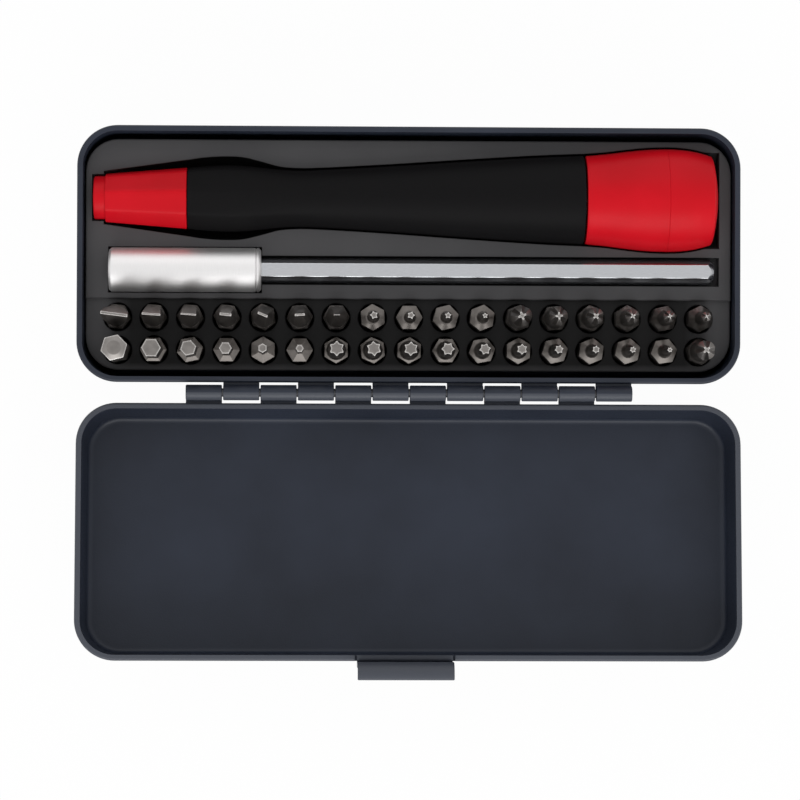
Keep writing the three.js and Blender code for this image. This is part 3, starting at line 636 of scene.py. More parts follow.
# Spring tongue: steps out of the lid's wall, stands past the rim and rolls out into a lip
tongue = {
    "width": 16.4, "shift": 0.7, "sheet": 0.9, "clearance": 0.25, "reach": 4.5, "jog": 1.2,
    "root": 0.5, "rootRise": 0.3, "bend": 0.5, "edge": 0.16, "sharp": 1.2,
    "lipRadius": 1.28, "lipDegrees": 120, "lipSteps": 14,
}
relief = {"width": 0.4, "depth": 1.5, "inwards": 2.6}


def latchTongue(farY):
    # a ribbon of the sheet is extruded along its outer side, then given its thickness
    outer = tongue["clearance"] + tongue["sheet"]
    path = [(outer, tongue["bend"] - tongue["jog"]), (outer, tongue["reach"])]
    for step in range(1, tongue["lipSteps"] + 1):
        turn = math.radians(tongue["lipDegrees"]) * step / tongue["lipSteps"]
        out = outer + tongue["lipRadius"] * (1 - math.cos(turn))
        path.append((out, tongue["reach"] + tongue["lipRadius"] * math.sin(turn)))
    start = (-tongue["root"], -tongue["jog"] - tongue["sheet"])
    first = (outer - tongue["bend"], -tongue["jog"] - tongue["sheet"] * tongue["rootRise"])
    letGo()
    bpy.ops.mesh.primitive_plane_add(size=1)
    ribbon = bpy.context.object
    ribbon.name = "latchTongue"
    ribbon.scale = (tongue["width"] * mm, (first[0] - start[0]) * mm, 1)
    moveTo(ribbon, (-tongue["shift"], farY - (start[0] + first[0]) / 2, start[1]))
    edit(ribbon)
    nearest = (farY - start[0]) * mm
    pick("EDGE", lambda edge: all(vertex.co.y < nearest - hair for vertex in edge.verts))
    bpy.ops.transform.translate(value=(0, 0, (first[1] - start[1]) * mm))
    out, up = first
    for nextOut, nextUp in path:
        extrudeBy(0, out - nextOut, nextUp - up)
        out, up = nextOut, nextUp
    pickAll()
    bpy.ops.mesh.normals_make_consistent(inside=False)
    # the faces point outwards, so that the thickness goes to the ribbon's inner side
    mesh = bmesh.from_edit_mesh(ribbon.data)
    blade = max(mesh.faces, key=lambda face: face.calc_area())
    if blade.normal.y > 0:
        bpy.ops.mesh.flip_normals()
    done()
    thicken(ribbon, tongue["sheet"])
    edit(ribbon)
    pick("EDGE", lambda edge: sharp(edge, tongue["sharp"]))
    bevelPicked(tongue["edge"])
    done()
    smooth(ribbon, case["smoothing"])
    return ribbon


def placeOnHinge(piece, turnDegrees=0.0):
    return moveTo(piece, (0, hingeY, hingeZ), (turnDegrees, 0, 0))


baseSkin = drawnPan("baseSkin", case["baseDepth"], 0.0, case["baseDepth"])
joinInto(baseSkin, [placeOnHinge(roll) for roll in knuckleRow(1)])
finishPiece(baseSkin, "case", "case_paint", "base_shell")

lidSkin = drawnPan("lidSkin", case["lidDepth"], hingeY, -case["rimGap"] / 2)
farY = hingeY - case["width"] / 2
for side in (-1, 1):
    near = side * tongue["width"] / 2 - tongue["shift"]
    far = near + side * relief["width"]
    low = (min(near, far), farY - overshoot, -relief["depth"] - case["rimGap"] / 2)
    high = (max(near, far), farY + relief["inwards"], overshoot)
    carve(lidSkin, startBlock("relief", low, high))
joinInto(lidSkin, [latchTongue(farY)] + knuckleRow(-1))
placeOnHinge(lidSkin, case["openDegrees"])
finishPiece(lidSkin, "lid", "case_paint", "lid_shell")
print("case pieces made")

# Driver: red nose and core, rubber grip, turning cap in two halves
driver = {
    "y": 9.7985, "z": 17.8, "front": -54.54,
    "collarLength": 2.0, "collarRadius": 3.74, "collarRound": 0.32, "collarEase": 0.1,
    "collarSunk": 0.6, "noseFront": 4.3, "noseRear": 5.45, "noseEase": 0.02, "soft": 0.14,
    "bore": 2.9, "boreDepth": 16.1, "boreSides": 48,
    "facets": 8, "facetTurn": 12.0, "flatShare": 0.945, "facetFade": 0.35,
    "facetRound": 0.085, "facetSteps": 4, "facetCuts": 5, "flatLeast": 0.3,
    "core": 3.5, "grooveDepth": 0.4,
    "gripStart": -38.44, "gripLength": 68.68, "gripRadius": 7.72, "gripGap": 0.1,
    "gripRound": 0.25, "gripEase": 0.07,
    "capStart": 30.54, "capLength": 23.05, "capRadius": 8.93, "capSides": 128, "capSteps": 5,
    "capSeam": 0.61, "seamRound": 0.06, "seamEase": 0.05, "seamClear": 0.01,
    # inside the cap, counted from its start
    "groove": (10.4, 11.4), "coreReach": 12.2, "bushRadius": 4.48, "bushEnd": 8.1,
    "neckRadius": 3.68, "neckEnd": 10.3, "hollow": 6.6, "headHollow": 5.4, "headShare": 0.82,
}
# outlines: shares of the length and of the radius
gripOutline = [
    (0, 0.706), (0.04, 0.738), (0.09, 0.762), (0.14, 0.752), (0.19, 0.706), (0.235, 0.662),
    (0.29, 0.643), (0.35, 0.66), (0.43, 0.698), (0.54, 0.758), (0.65, 0.826), (0.77, 0.896),
    (0.89, 0.96), (1, 1),
]
capOutline = [
    (0, 0.845), (0.012, 0.86), (0.15, 0.895), (0.3, 0.945), (0.45, 0.985), (0.6, 1),
    (0.72, 0.99), (0.83, 0.95), (0.9, 0.905), (0.935, 0.875), (0.955, 0.835), (0.975, 0.62),
    (0.992, 0.34), (1, 0.05),
]


def facetedDisc(name, x, radius):
    # an octagon with softened corners, its sides divided so that it can be rounded later
    corner = radius * driver["flatShare"] / math.cos(math.pi / driver["facets"])
    piece = startDisc(name, "X", x, corner, driver["facets"])
    edit(piece)
    pickAll()
    bevelPicked(driver["facetRound"] * radius, driver["facetSteps"], "VERTICES")
    pick("EDGE", lambda edge: edge.calc_length() > driver["flatLeast"] * radius * mm)
    bpy.ops.mesh.subdivide(number_cuts=driver["facetCuts"])
    pickAll()
    return piece


def growFaceted(fromX, stations):
    # extrudes the picked face to each (x, radius, roundness) and rounds it by that share
    x, roundness = fromX, 0.0
    for nextX, radius, nextRoundness in stations:
        extrudeBy(nextX - x, 0, 0)
        if nextRoundness > roundness:
            bpy.ops.transform.tosphere(value=(nextRoundness - roundness) / (1 - roundness))
        fitPicked("X", nextX, radius)
        x, roundness = nextX, nextRoundness


def placeOnDriver(piece, turnDegrees=0.0):
    return moveTo(piece, (0, driver["y"], driver["z"]), (turnDegrees, 0, 0))


facetAngle = driver["facetTurn"] + 180 / driver["facets"]
noseStart = driver["front"] + driver["collarLength"]
soft, capStart = driver["soft"], driver["capStart"]

# core: collar, faceted nose and the shaft with its snap-ring groove
core, grooveRadius = driver["core"], driver["core"] - driver["grooveDepth"]
grooveStart, grooveEnd = [capStart + place for place in driver["groove"]]
nose = facetedDisc("noseCore", noseStart, driver["noseFront"] - soft)
growFaceted(noseStart, [
    (noseStart + soft, driver["noseFront"], 0),
    (driver["gripStart"] - soft, driver["noseRear"] - driver["noseEase"], 0),
    (driver["gripStart"], driver["noseRear"] - soft, 0),
    (driver["gripStart"] + sliver, core, 1),
    (grooveStart, core, 1),
    (grooveStart + sliver, grooveRadius, 1),
    (grooveEnd, grooveRadius, 1),
    (grooveEnd + sliver, core, 1),
    (capStart + driver["coreReach"], core, 1),
])
done()
outward(nose)
placeOnDriver(nose, facetAngle)
collar = turned("collar", [
    (driver["front"], driver["collarRadius"] - driver["collarRound"]),
    (driver["front"] + driver["collarEase"], driver["collarRadius"] - driver["collarEase"]),
    (driver["front"] + driver["collarRound"], driver["collarRadius"]),
    (noseStart + driver["collarSunk"], driver["collarRadius"]),
])
carve(nose, placeOnDriver(collar), "UNION")
bore = turned("bore", [
    (driver["front"] - overshoot, driver["bore"]),
    (driver["front"] + driver["boreDepth"], driver["bore"]),
], driver["boreSides"])
carve(nose, placeOnDriver(bore))
smooth(nose)
finishPiece(nose, "handle", "handle_red", "handle_core")

# grip: octagonal in front, round from the waist on
gripX = driver["gripStart"] + driver["gripGap"]
grip = facetedDisc("gripRubber", gripX, gripOutline[0][1] * driver["gripRadius"] - soft)
gripStations = []
for along, radius in fairCurve(gripOutline):
    facet = min(max(1 - along / driver["facetFade"], 0), 1)
    place = gripX + along * (driver["gripLength"] - driver["gripGap"])
    gripStations.append((place, radius * driver["gripRadius"], 1 - facet))
firstX, firstRadius, _ = gripStations[0]
lastX, lastRadius, _ = gripStations[-1]
gripStations[0] = (firstX + soft, firstRadius, 0)
gripStations[-1] = (lastX - driver["gripRound"], lastRadius, 1)
gripStations += [
    (lastX - driver["gripEase"], lastRadius - driver["gripEase"], 1),
    (lastX, lastRadius - driver["gripRound"], 1),
]
growFaceted(firstX, gripStations)
done()
outward(grip)
boreRadius = core + driver["gripGap"]
carve(grip, turned("gripBore", [
    (firstX - overshoot, boreRadius), (lastX + overshoot, boreRadius),
], driver["boreSides"]))
smooth(grip)
placeOnDriver(grip, facetAngle)
finishPiece(grip, "handle", "grip_rubber", "grip_sleeve")


# cap: one outline, parted at the seam
def capPlaces(fromShare, toShare):
    places = fairCurve(capOutline, driver["capSteps"])
    return [
        (capStart + along * driver["capLength"], min(radius, 1) * driver["capRadius"])
        for along, radius in places if fromShare <= along <= toShare
    ]


def finishCapHalf(name, stations, hollowStations, nodeName):
    half = turned(name, stations, driver["capSides"])
    carve(half, turned("hollow", hollowStations, driver["capSides"] // 2))
    smooth(half)
    finishPiece(placeOnDriver(half), "end_cap", "handle_red", nodeName)


seamX = capStart + driver["capSeam"] * driver["capLength"]
barrelPlaces = capPlaces(0, driver["capSeam"])
seamRadius = barrelPlaces[-1][1]
finishCapHalf("capBarrel", barrelPlaces + [
    (seamX - driver["seamEase"], seamRadius), (seamX, seamRadius - driver["seamRound"]),
], [
    (capStart - overshoot, driver["bushRadius"]),
    (capStart + driver["bushEnd"], driver["bushRadius"]),
    (capStart + driver["bushEnd"] + sliver, driver["neckRadius"]),
    (capStart + driver["neckEnd"], driver["neckRadius"]),
    (capStart + driver["neckEnd"] + sliver, driver["hollow"]),
    (seamX + overshoot, driver["hollow"]),
], "cap_barrel")
finishCapHalf("capHead", [
    (seamX, seamRadius - driver["seamRound"]), (seamX + driver["seamEase"], seamRadius),
] + capPlaces(driver["capSeam"] + driver["seamClear"], 1), [
    (seamX - overshoot, driver["headHollow"]),
    (capStart + driver["headShare"] * driver["capLength"], driver["headHollow"]),
], "cap_end")
print("driver pieces made")

# Bit holder: turned sleeve with a hexagon socket, hexagon bar with a turned end
holder = {
    "y": -2.631, "z": 18.0, "start": -51.89, "length": 26.3, "radius": 3.85, "chamfer": 0.45,
    "chamferEase": (0.9, 1.15), "easeDepth": 0.04,
    "groove": 0.18, "grooveAt": 0.85, "grooveHalf": 0.16, "grooveFloor": 0.05,
    "socket": 4.16, "frontBore": 10.0, "rearBore": 11.1,
    "bar": 4.0, "barInside": 11.0, "barEnd": 52.94, "barEdge": 0.14, "barSmoothing": 20,
    "pointRadius": 1.7, "pointSlope": 0.53, "pointTip": 0.06, "pointRound": 0.1,
}
sleeveEnd = holder["start"] + holder["length"]
grooveX = sleeveEnd - holder["grooveAt"]
wide, narrow = holder["radius"], holder["radius"] - holder["groove"]
easeIn, easeOut = [holder["chamfer"] * share for share in holder["chamferEase"]]
eased, blunt = wide - holder["easeDepth"], wide - holder["chamfer"]
sleeve = turned("holderSleeve", [
    (holder["start"], blunt), (holder["start"] + easeIn, eased), (holder["start"] + easeOut, wide),
    (grooveX - holder["grooveHalf"], wide), (grooveX - holder["grooveFloor"], narrow),
    (grooveX + holder["grooveFloor"], narrow), (grooveX + holder["grooveHalf"], wide),
    (sleeveEnd - easeOut, wide), (sleeveEnd - easeIn, eased), (sleeveEnd, blunt),
])


def hexagonBar(name, startX, endX, acrossFlats):
    corner = acrossFlats / math.sqrt(3)
    return turned(name, [(startX, corner), (endX, corner)], 6)


for boreStart, boreEnd in (
    (holder["start"] - overshoot, holder["start"] + holder["frontBore"]),
    (sleeveEnd - holder["rearBore"], sleeveEnd + overshoot),
):
    carve(sleeve, hexagonBar("sleeveBore", boreStart, boreEnd, holder["socket"]))
smooth(moveTo(sleeve, (0, holder["y"], holder["z"])))
finishPiece(sleeve, "holder", "sleeve_aluminium", "holder_sleeve")

barStart = sleeveEnd - holder["barInside"]
bar = hexagonBar("holderBar", barStart, holder["barEnd"], holder["bar"])
edit(bar)
pick("EDGE", lambda edge: abs(edge.verts[0].co.x - edge.verts[1].co.x) > holder["bar"] * mm)
bevelPicked(holder["barEdge"])
done()
barCorner = holder["bar"] / math.sqrt(3)
pointX = holder["barEnd"] - holder["pointTip"]
pointLength = (barCorner + overshoot - holder["pointRadius"]) / holder["pointSlope"]
pointed = turned("pointed", [
    (barStart - overshoot, barCorner + overshoot), (pointX - pointLength, barCorner + overshoot),
    (pointX, holder["pointRadius"]),
    (holder["barEnd"], holder["pointRadius"] - holder["pointRound"]),
])
carve(bar, pointed, "INTERSECT")
smooth(moveTo(bar, (0, holder["y"], holder["z"])), holder["barSmoothing"])
finishPiece(bar, "holder", "shank_steel", "holder_shank")
print("holder pieces made")

# Tray: moulded block with a sunk strip, the driver's pocket, the holder's bed and the bit holes
tray = {
    "length": 111.88, "width": 39.997, "cornerRadius": 5.65, "cornerSteps": 12,
    "low": 1.0, "foot": 1.3, "footInset": 1.1, "draft": 0.5, "top": 18.5,
    "edge": 0.3, "edgeSteps": 4, "sharp": 0.9, "strip": 1.0, "stripY": -7.601, "fit": 0.3,
    "sleeveFit": 0.14, "barFit": 0.2, "barSlack": 0.9,
    "holeRadius": 2.45, "holeMouth": 0.16, "mouthBend": (0.3, 0.35), "holeSides": 40,
    "floor": 2.3, "pitch": 6.2988, "rowYs": (-10.80, -16.499), "columns": 17,
}
pocketSlack = [0.15, 0.17, 0.175, 0.17, 0.11, 0.05] + [0.04] * 8
capInPocket = slice(2, 9)  # the cap's outline between its two round ends


def trough(name, stations, y, z):
    # round below the axis, straight walls above it
    cutter = turned(name, stations)
    edit(cutter)
    pickAll()
    bpy.ops.mesh.bisect(plane_co=(0, 0, 0), plane_no=(0, 0, 1), use_fill=True, clear_outer=True)
    pick("FACE", lambda face: level(face, 2, 0.0))
    extrudeBy(0, 0, tray["top"] + overshoot - z)
    done()
    moveTo(cutter, (0, y, z))
    outward(cutter)
    return cutter


def bitPlaces():
    middle = (tray["columns"] - 1) / 2
    columns = [(column - middle) * tray["pitch"] for column in range(tray["columns"])]
    return [(x, y) for y in tray["rowYs"] for x in columns]


halfLength, halfWidth = tray["length"] / 2, tray["width"] / 2
footZ = tray["low"] + tray["foot"]
trayBlock = startBlock(
    "trayBlock", (-halfLength, -halfWidth, footZ), (halfLength, halfWidth, tray["top"])
)
edit(trayBlock)
pick("EDGE", upright)
bevelPicked(tray["cornerRadius"], tray["cornerSteps"])
pick("FACE", lambda face: level(face, 2, footZ))
insetPicked(tray["draft"], halfLength, halfWidth, (0, 0, footZ))
extrudeBy(0, 0, -tray["foot"])
insetPicked(tray["footInset"], halfLength, halfWidth, (0, 0, footZ))
done()
stripZ = tray["top"] - tray["strip"]
carve(trayBlock, startBlock(
    "strip", (-tray["length"], -tray["width"], stripZ),
    (tray["length"], tray["stripY"], tray["top"] + overshoot),
))
edit(trayBlock)
pick("EDGE", lambda edge: (
    min(vertex.co.z for vertex in edge.verts) > (stripZ - sliver) * mm
    and sharp(edge, tray["sharp"]) and edge.is_convex and rise(edge) * mm < hair
))
bevelPicked(tray["edge"], tray["edgeSteps"])
done()

collarPocket = driver["collarRadius"] + tray["fit"]
noseX = noseStart - tray["fit"]
pocket = [
    (driver["front"] - tray["fit"], collarPocket), (noseX, collarPocket),
    (noseX + sliver, driver["noseFront"] + tray["fit"]),
]
slackOutline = [(along, radius + slack) for (along, radius), slack in zip(gripOutline, pocketSlack)]
for along, radius in fairCurve(slackOutline):
    place = driver["gripStart"] + along * driver["gripLength"]
    pocket.append((place, radius * driver["gripRadius"]))
for along, radius in fairCurve(capOutline[capInPocket]):
    place = capStart + along * driver["capLength"]
    pocket.append((place, radius * driver["capRadius"] + tray["fit"]))
pocket.append((capStart + driver["capLength"] + tray["fit"], pocket[-1][1]))
carve(trayBlock, trough("pocket", pocket, driver["y"], driver["z"]))
bedRadius = holder["radius"] + tray["sleeveFit"]
bed = [(holder["start"] - tray["sleeveFit"], bedRadius), (sleeveEnd + tray["sleeveFit"], bedRadius)]
carve(trayBlock, trough("bed", bed, holder["y"], holder["z"]))
slotHalf = barCorner + tray["barFit"]
slotLow = (sleeveEnd, holder["y"] - slotHalf, holder["z"] - holder["bar"] / 2 - tray["fit"])
slotHigh = (holder["barEnd"] + tray["barSlack"], holder["y"] + slotHalf, tray["top"] + overshoot)
carve(trayBlock, startBlock("slot", slotLow, slotHigh))

# holes: one is modelled and copied to each bit's place
mouth, holeRadius = tray["holeMouth"], tray["holeRadius"]
bendDown, bendOut = [mouth * share for share in tray["mouthBend"]]
hole = turned("hole", [
    (tray["floor"], holeRadius), (stripZ - mouth, holeRadius),
    (stripZ - bendDown, holeRadius + bendOut), (stripZ + 2 * sliver, holeRadius + mouth),
    (stripZ + 2 * overshoot, holeRadius + mouth),
], tray["holeSides"], "Z")
holes = [duplicate(hole, "hole", (x, y, 0)) for x, y in bitPlaces()]
bpy.data.objects.remove(hole)
carve(trayBlock, joinInto(holes[0], holes[1:]))
smooth(trayBlock)
finishPiece(trayBlock, "case", "tray_plastic", "bit_tray")
print("tray made")

# Bits: hexagon blank with a turned shoulder, then each family's driving tip
bits = {
    "flats": 4.0, "length": 28.0, "shoulder": 18.5, "slope": 1.5, "keySlope": 0.6,
    "edge": 0.1, "footEdge": 0.25, "coneRadius": 3.2, "coneLead": 1.2,
    "coneSides": 64, "tipSides": 56,
    "slottedWidths": [4.62, 3.17, 2.64, 2.04, 1.8, 1.73, 1.05],
    "fiveStarRadii": [0.74, 0.7, 0.61, 0.52],
    "crossRadii": [1.8, 1.6, 1.44, 1.2, 1.0, 0.8],
    "hexagonFlats": [4.0, 3.0, 2.5, 2.0, 1.5, 1.3],
    "sixStarRadii": [1.32, 1.28, 1.24, 1.14, 1.0, 0.94, 0.78, 0.68, 0.58, 0.48],
    "lastCrossRadii": [1.68],
    "fiveStarValley": 0.6, "sixStarValley": 0.68,
    "turns": [
        -7, -4, -4, -6, -22, 4, 0, 33, 0, 14, 22, 20, 4, 40, 32, 12, 28,
        14, 0, 12, 0, 30, 0, 30, 36, 28, 0, 10, 28, 12, 22, 18, 9, 40,
    ],
}
bladeTip = {
    "neck": 1.84, "sunk": 0.02, "neckRise": 0.6, "taper": 6.5, "taperShares": (0.97, 0.01),
    "straight": 1.6, "grind": 8.0, "thickness": (0.03, 0.12), "edge": 0.05,
}
keyTip = {
    "plainFrom": 0.8, "plainGap": 0.03, "plainChamfer": 0.12, "chamfer": 0.08,
    "neckGap": 0.5, "neckLimits": (1.22, 1.74), "lengthShare": 2.2, "longest": 3.2,
    "runOut": 0.35, "rootShare": 1.05, "sunkShare": 0.9, "cornerRound": 0.11,
}
largestKey = {"radius": 3, "cone": 0.92, "face": 1.24, "end": 0.03, "endFace": 1.16}
crossTip = {
    "neck": 1.84, "neckGap": 0.36, "neckSlope": 3, "neckRise": 0.2,
    "noseShare": 0.38, "coneSlope": 1.6, "noseDrop": 0.08, "noseRound": (0.05, 0.03),
    "grooveStart": 0.42, "grooveEnd": 0.6, "grooveReach": 1.6, "grooveDepth": 4, "grooveOpen": 1.35,
}
fillet = {"steps": 6, "rise": 2.2, "least": 0.2, "along": 1.15, "across": 1.5}
bitCorner = bits["flats"] / math.sqrt(3)
bitEnd = bits["length"]


def hexagonRod(top):
    rod = turned("rod", [(0, bitCorner), (top, bitCorner)], 6, "Z")
    edit(rod)
    pick("EDGE", upright)
    bevelPicked(bits["edge"])
    done()
    return rod


def hexagonBlank(neck, slope, sides=bits["coneSides"]):
    # neck: radius at the top of the shoulder; six sides make it a pyramid
    top = bits["shoulder"] + (bits["flats"] / 2 - neck) * slope
    wide, narrow = bits["coneRadius"], neck
    if sides == 6:
        wide, narrow = [radius * 2 / math.sqrt(3) for radius in (wide, narrow)]
    blank = hexagonRod(top)
    edit(blank)
    pick("EDGE", lambda edge: level(edge, 2, 0.0))
    bevelPicked(bits["footEdge"], 2)
    done()
    cone = turned("cone", [
        (-overshoot, wide), (bits["shoulder"] - slope * bits["coneLead"], wide),
        (top + sliver / 10, narrow),
    ], sides, "Z")
    carve(blank, cone, "INTERSECT")
    return blank, top


def rootFillet(top, neck, radius):
    # stations of a hollow fillet from the shoulder's top up to the thinner neck
    drop = neck - radius
    height = max(drop * fillet["rise"], fillet["least"])
    shares = [step / fillet["steps"] for step in range(fillet["steps"] + 1)]
    heights = [top - sliver + height * share ** fillet["along"] for share in shares]
    radii = [radius + drop * (1 - share) ** fillet["across"] for share in shares]
    return list(zip(heights, radii))


def joinTip(blank, tip):
    carve(blank, tip, "UNION")
    smooth(blank)
    return blank


def slottedBit(width):
    neck = bladeTip["neck"]
    blank, top = hexagonBlank(neck, bits["slope"])
    root, half = neck - bladeTip["sunk"], width / 2
    taper = neck * bladeTip["taperShares"][0] + width * bladeTip["taperShares"][1]
    tip = turned("tip", [
        (top - overshoot, root), (top + bladeTip["neckRise"], root),
        (bitEnd - bladeTip["taper"], taper), (bitEnd - bladeTip["straight"], half), (bitEnd, half),
    ], bits["tipSides"], "Z")
    # both sides of the tip are ground down to a blade
    halfThickness = (bladeTip["thickness"][0] + bladeTip["thickness"][1] * width) / 2
    edit(tip)
    for side in (1, -1):
        pickAll()
        bpy.ops.mesh.bisect(
            plane_co=(0, side * halfThickness * mm, bitEnd * mm),
            plane_no=Vector((0, side * bladeTip["grind"], neck - halfThickness)).normalized(),
            use_fill=True, clear_outer=True,
        )
    pick("EDGE", lambda edge: level(edge, 2, bitEnd))
    bevelPicked(bladeTip["edge"], 2)
    done()
    return joinTip(blank, tip)


def starDisc(points, radius, valley, place):
    piece = startDisc("tip", "Z", place, radius, 2 * points)
    edit(piece)
    turn = math.pi / points
    pick("VERT", lambda vertex: round(math.atan2(vertex.co.y, vertex.co.x) / turn) % 2 == 1)
    widenPicked("Z", place, valley)
    pickAll()
    if valley < keyTip["plainFrom"]:
        bevelPicked(keyTip["cornerRound"] * radius, kind="VERTICES")
        pickAll()
        fitPicked("Z", place, radius)
    return piece


def keyBit(points, radius, valley):
    # a star or a hexagon key on a round neck; a hexagon runs straight into its pyramid
    plain = valley > keyTip["plainFrom"]
    least, most = keyTip["neckLimits"]
    neck = min(max(radius + keyTip["neckGap"], least), most)
    chamfer = keyTip["chamfer"]
    if plain:
        neck, chamfer = radius * valley + keyTip["plainGap"], keyTip["plainChamfer"]
    blank, top = hexagonBlank(neck, bits["keySlope"], 6 if plain else bits["coneSides"])
    tip = starDisc(points, radius - chamfer, valley, bitEnd)
    keyEnd = bitEnd - min(radius * keyTip["lengthShare"], keyTip["longest"])
    stop = top - overshoot if plain else keyEnd
    growAlong("Z", [(bitEnd, radius - chamfer), (bitEnd - chamfer, radius), (stop, radius)])
    if not plain:
        # the star runs out into a round neck
        runOut = keyEnd - max((1 - valley) * 2 * radius, keyTip["runOut"])
        root = radius * keyTip["rootShare"]
        extrudeBy(0, 0, runOut - keyEnd)
        bpy.ops.transform.tosphere(value=1.0)
        fitPicked("Z", runOut, root)
        down = rootFillet(top, neck, root)[::-1]
        growAlong("Z", [(runOut, root)] + down + [(top - overshoot, neck * keyTip["sunkShare"])])
    done()
    outward(tip)
    return joinTip(blank, tip)


def hexagonBit(flats):
    if flats < bits["flats"]:
        return keyBit(6, flats / math.sqrt(3), math.sqrt(3) / 2)
    # the largest key is the rod itself, coned down to a round face
    rod = hexagonRod(bitEnd)
    cone = turned("cone", [
        (-overshoot, largestKey["radius"]), (bitEnd - largestKey["cone"], largestKey["radius"]),
        (bitEnd - largestKey["end"], largestKey["face"]),
        (bitEnd + sliver / 10, largestKey["endFace"]),
    ], bits["coneSides"], "Z")
    carve(rod, cone, "INTERSECT")
    smooth(rod)
    return rod


def crossBit(radius):
    neck = min(radius + crossTip["neckGap"], crossTip["neck"])
    blank, top = hexagonBlank(neck, bits["slope"])
    nose = radius * crossTip["noseShare"]
    coneLength = (radius - nose) * crossTip["coneSlope"]
    neckEnd = top + crossTip["neckRise"] + (neck - radius) * crossTip["neckSlope"]
    bulge, blunt = crossTip["noseRound"]
    tip = turned("tip", [
        (top - overshoot, neck), (top - sliver, neck), (neckEnd, radius + sliver),
        (bitEnd - coneLength, radius), (bitEnd - crossTip["noseDrop"], nose + bulge),
        (bitEnd, nose - blunt),
    ], bits["tipSides"], "Z")
    # four hollows: a block on its edge, widened to an open V, leaning outwards below, copied
    start, finish = nose * crossTip["grooveStart"], radius * crossTip["grooveEnd"]
    lean = math.degrees(math.atan2(finish - start, coneLength))
    half = radius * crossTip["grooveReach"]
    low = (0, 0, -crossTip["grooveDepth"] * coneLength)
    groove = startBlock("groove", low, (half, half, coneLength))
    moveTo(groove, (0, 0, 0), (0, 0, -45))
    groove.scale = (1, crossTip["grooveOpen"], 1)
    moveTo(groove, (0, 0, 0), (0, -lean, 0))
    moveTo(groove, (start, 0, bitEnd))
    for arm in range(4):
        carve(tip, duplicate(groove, "hollow", (0, 0, 0), (0, 0, 45 + arm * 90)))
    bpy.data.objects.remove(groove)
    return joinTip(blank, tip)


families = [
    ("slotted_bit", bits["slottedWidths"], slottedBit),
    ("pentalobe_bit", bits["fiveStarRadii"],
     lambda radius: keyBit(5, radius, bits["fiveStarValley"])),
    ("cross_bit", bits["crossRadii"], crossBit),
    ("hex_bit", bits["hexagonFlats"], hexagonBit),
    ("sixlobe_bit", bits["sixStarRadii"],
     lambda radius: keyBit(6, radius, bits["sixStarValley"])),
    ("large_cross_bit", bits["lastCrossRadii"], crossBit),
]
places = bitPlaces()
made = 0
for family, sizes, shape in families:
    for index, size in enumerate(sizes):
        nodeName = f"{family}_{index + 1}"
        piece = shape(size)
        piece.name = f"{nodeName}_steel"
        x, y = places[made]
        moveTo(piece, (x, y, tray["floor"]), (0, 0, bits["turns"][made]))
        finishPiece(piece, f"{nodeName}_body", "bit_steel", nodeName)
        made += 1
print("bits made", made)

# the CAD's own solids that stay in sight take the same finishes
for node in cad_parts.values():
    slotName = node.data.materials[0].name.split(".")[0]
    if slotName in finishes:
        node.data.materials.clear()
        node.data.materials.append(finishes[slotName])

# Plain pale floor and soft studio light
studio = {
    "floorSize": 3.0, "floorDrop": 0.02, "floorTone": 0.9, "floorRoughness": 0.9,
    "floorGlow": 0.97, "worldStrength": 0.66, "seenStrength": 1.0,
    "lampSize": (1.15, 0.55), "aim": (0, -0.02, 0),
    "lamps": [
        {"name": "softbox", "place": (0.0, -0.80, 0.58), "watts": 5.4},
        {"name": "farSoftbox", "place": (0.0, 0.76, 0.58), "watts": 0.9},
    ],
}


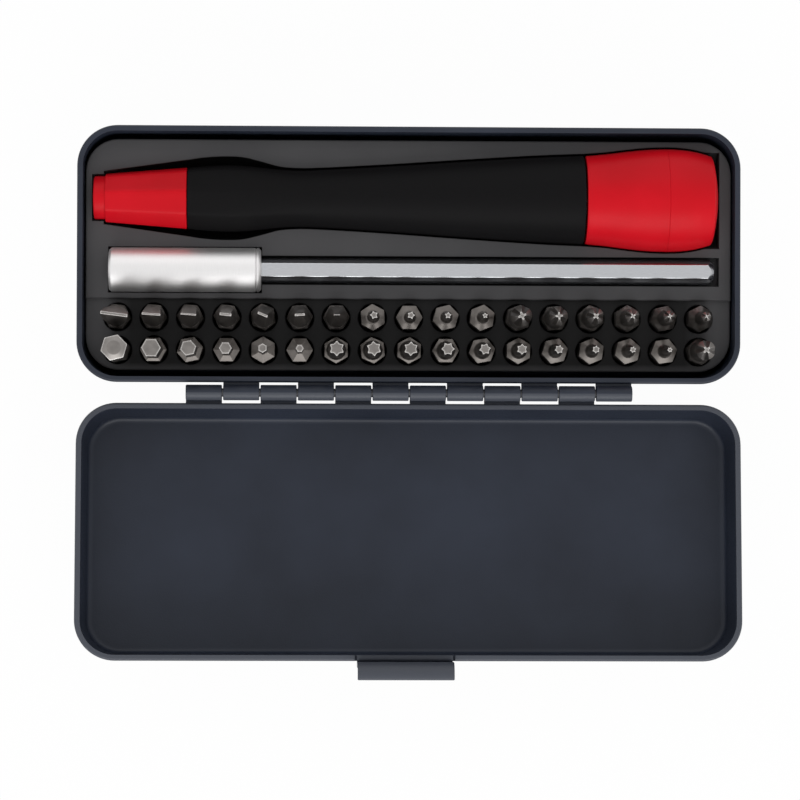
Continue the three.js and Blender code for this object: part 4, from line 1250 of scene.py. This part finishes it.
def buildWorld():
    # the camera, mirrors and glass see a white world, the rest a plain level of light
    world = bpy.data.worlds.new("studio")
    bpy.context.scene.world = world
    world.use_nodes = True
    tree = world.node_tree
    backdrop = tree.nodes["Background"]
    ray = tree.nodes.new("ShaderNodeLightPath").outputs
    mirrored = mathOf(tree, "MAXIMUM", ray["Is Camera Ray"], ray["Is Glossy Ray"])
    seen = mathOf(tree, "MAXIMUM", mirrored, ray["Is Transmission Ray"])
    strength = rangeOf(tree, seen, studio["worldStrength"], studio["seenStrength"], 0.0, 1.0)
    tree.links.new(strength, backdrop.inputs["Strength"])
    backdrop.inputs["Color"].default_value = (1, 1, 1, 1)


def buildLamps():
    for lamp in studio["lamps"]:
        lampData = bpy.data.lights.new(lamp["name"], "AREA")
        lampData.shape = "RECTANGLE"
        lampData.size, lampData.size_y = studio["lampSize"]
        lampData.energy = lamp["watts"]
        lampObject = bpy.data.objects.new(lamp["name"], lampData)
        lampObject.location = lamp["place"]
        aim = Vector(studio["aim"]) - Vector(lamp["place"])
        lampObject.rotation_euler = aim.to_track_quat("-Z", "Y").to_euler()
        bpy.context.scene.collection.objects.link(lampObject)


def buildFloor():
    letGo()
    place = (0, 0, -studio["floorDrop"] * mm)
    bpy.ops.mesh.primitive_plane_add(size=studio["floorSize"], location=place)
    floor = bpy.context.object
    floor.name = "floor"
    finish, tree, shader = newFinish("paleFloor")
    setInputs(shader, {
        "Base Color": (*[studio["floorTone"]] * 3, 1),
        "Roughness": studio["floorRoughness"], "Specular IOR Level": 0.0,
    })
    glow = tree.nodes.new("ShaderNodeEmission")
    glow.inputs["Color"].default_value = (1, 1, 1, 1)
    mix = tree.nodes.new("ShaderNodeMixShader")
    ray = tree.nodes.new("ShaderNodeLightPath").outputs
    share = mathOf(tree, "MULTIPLY", ray["Is Camera Ray"], studio["floorGlow"])
    tree.links.new(share, mix.inputs["Fac"])
    tree.links.new(shader.outputs["BSDF"], mix.inputs[1])
    tree.links.new(glow.outputs["Emission"], mix.inputs[2])
    tree.links.new(mix.outputs["Shader"], tree.nodes["Material Output"].inputs["Surface"])
    floor.data.materials.append(finish)


buildWorld()
buildLamps()
buildFloor()
print("studio ready")
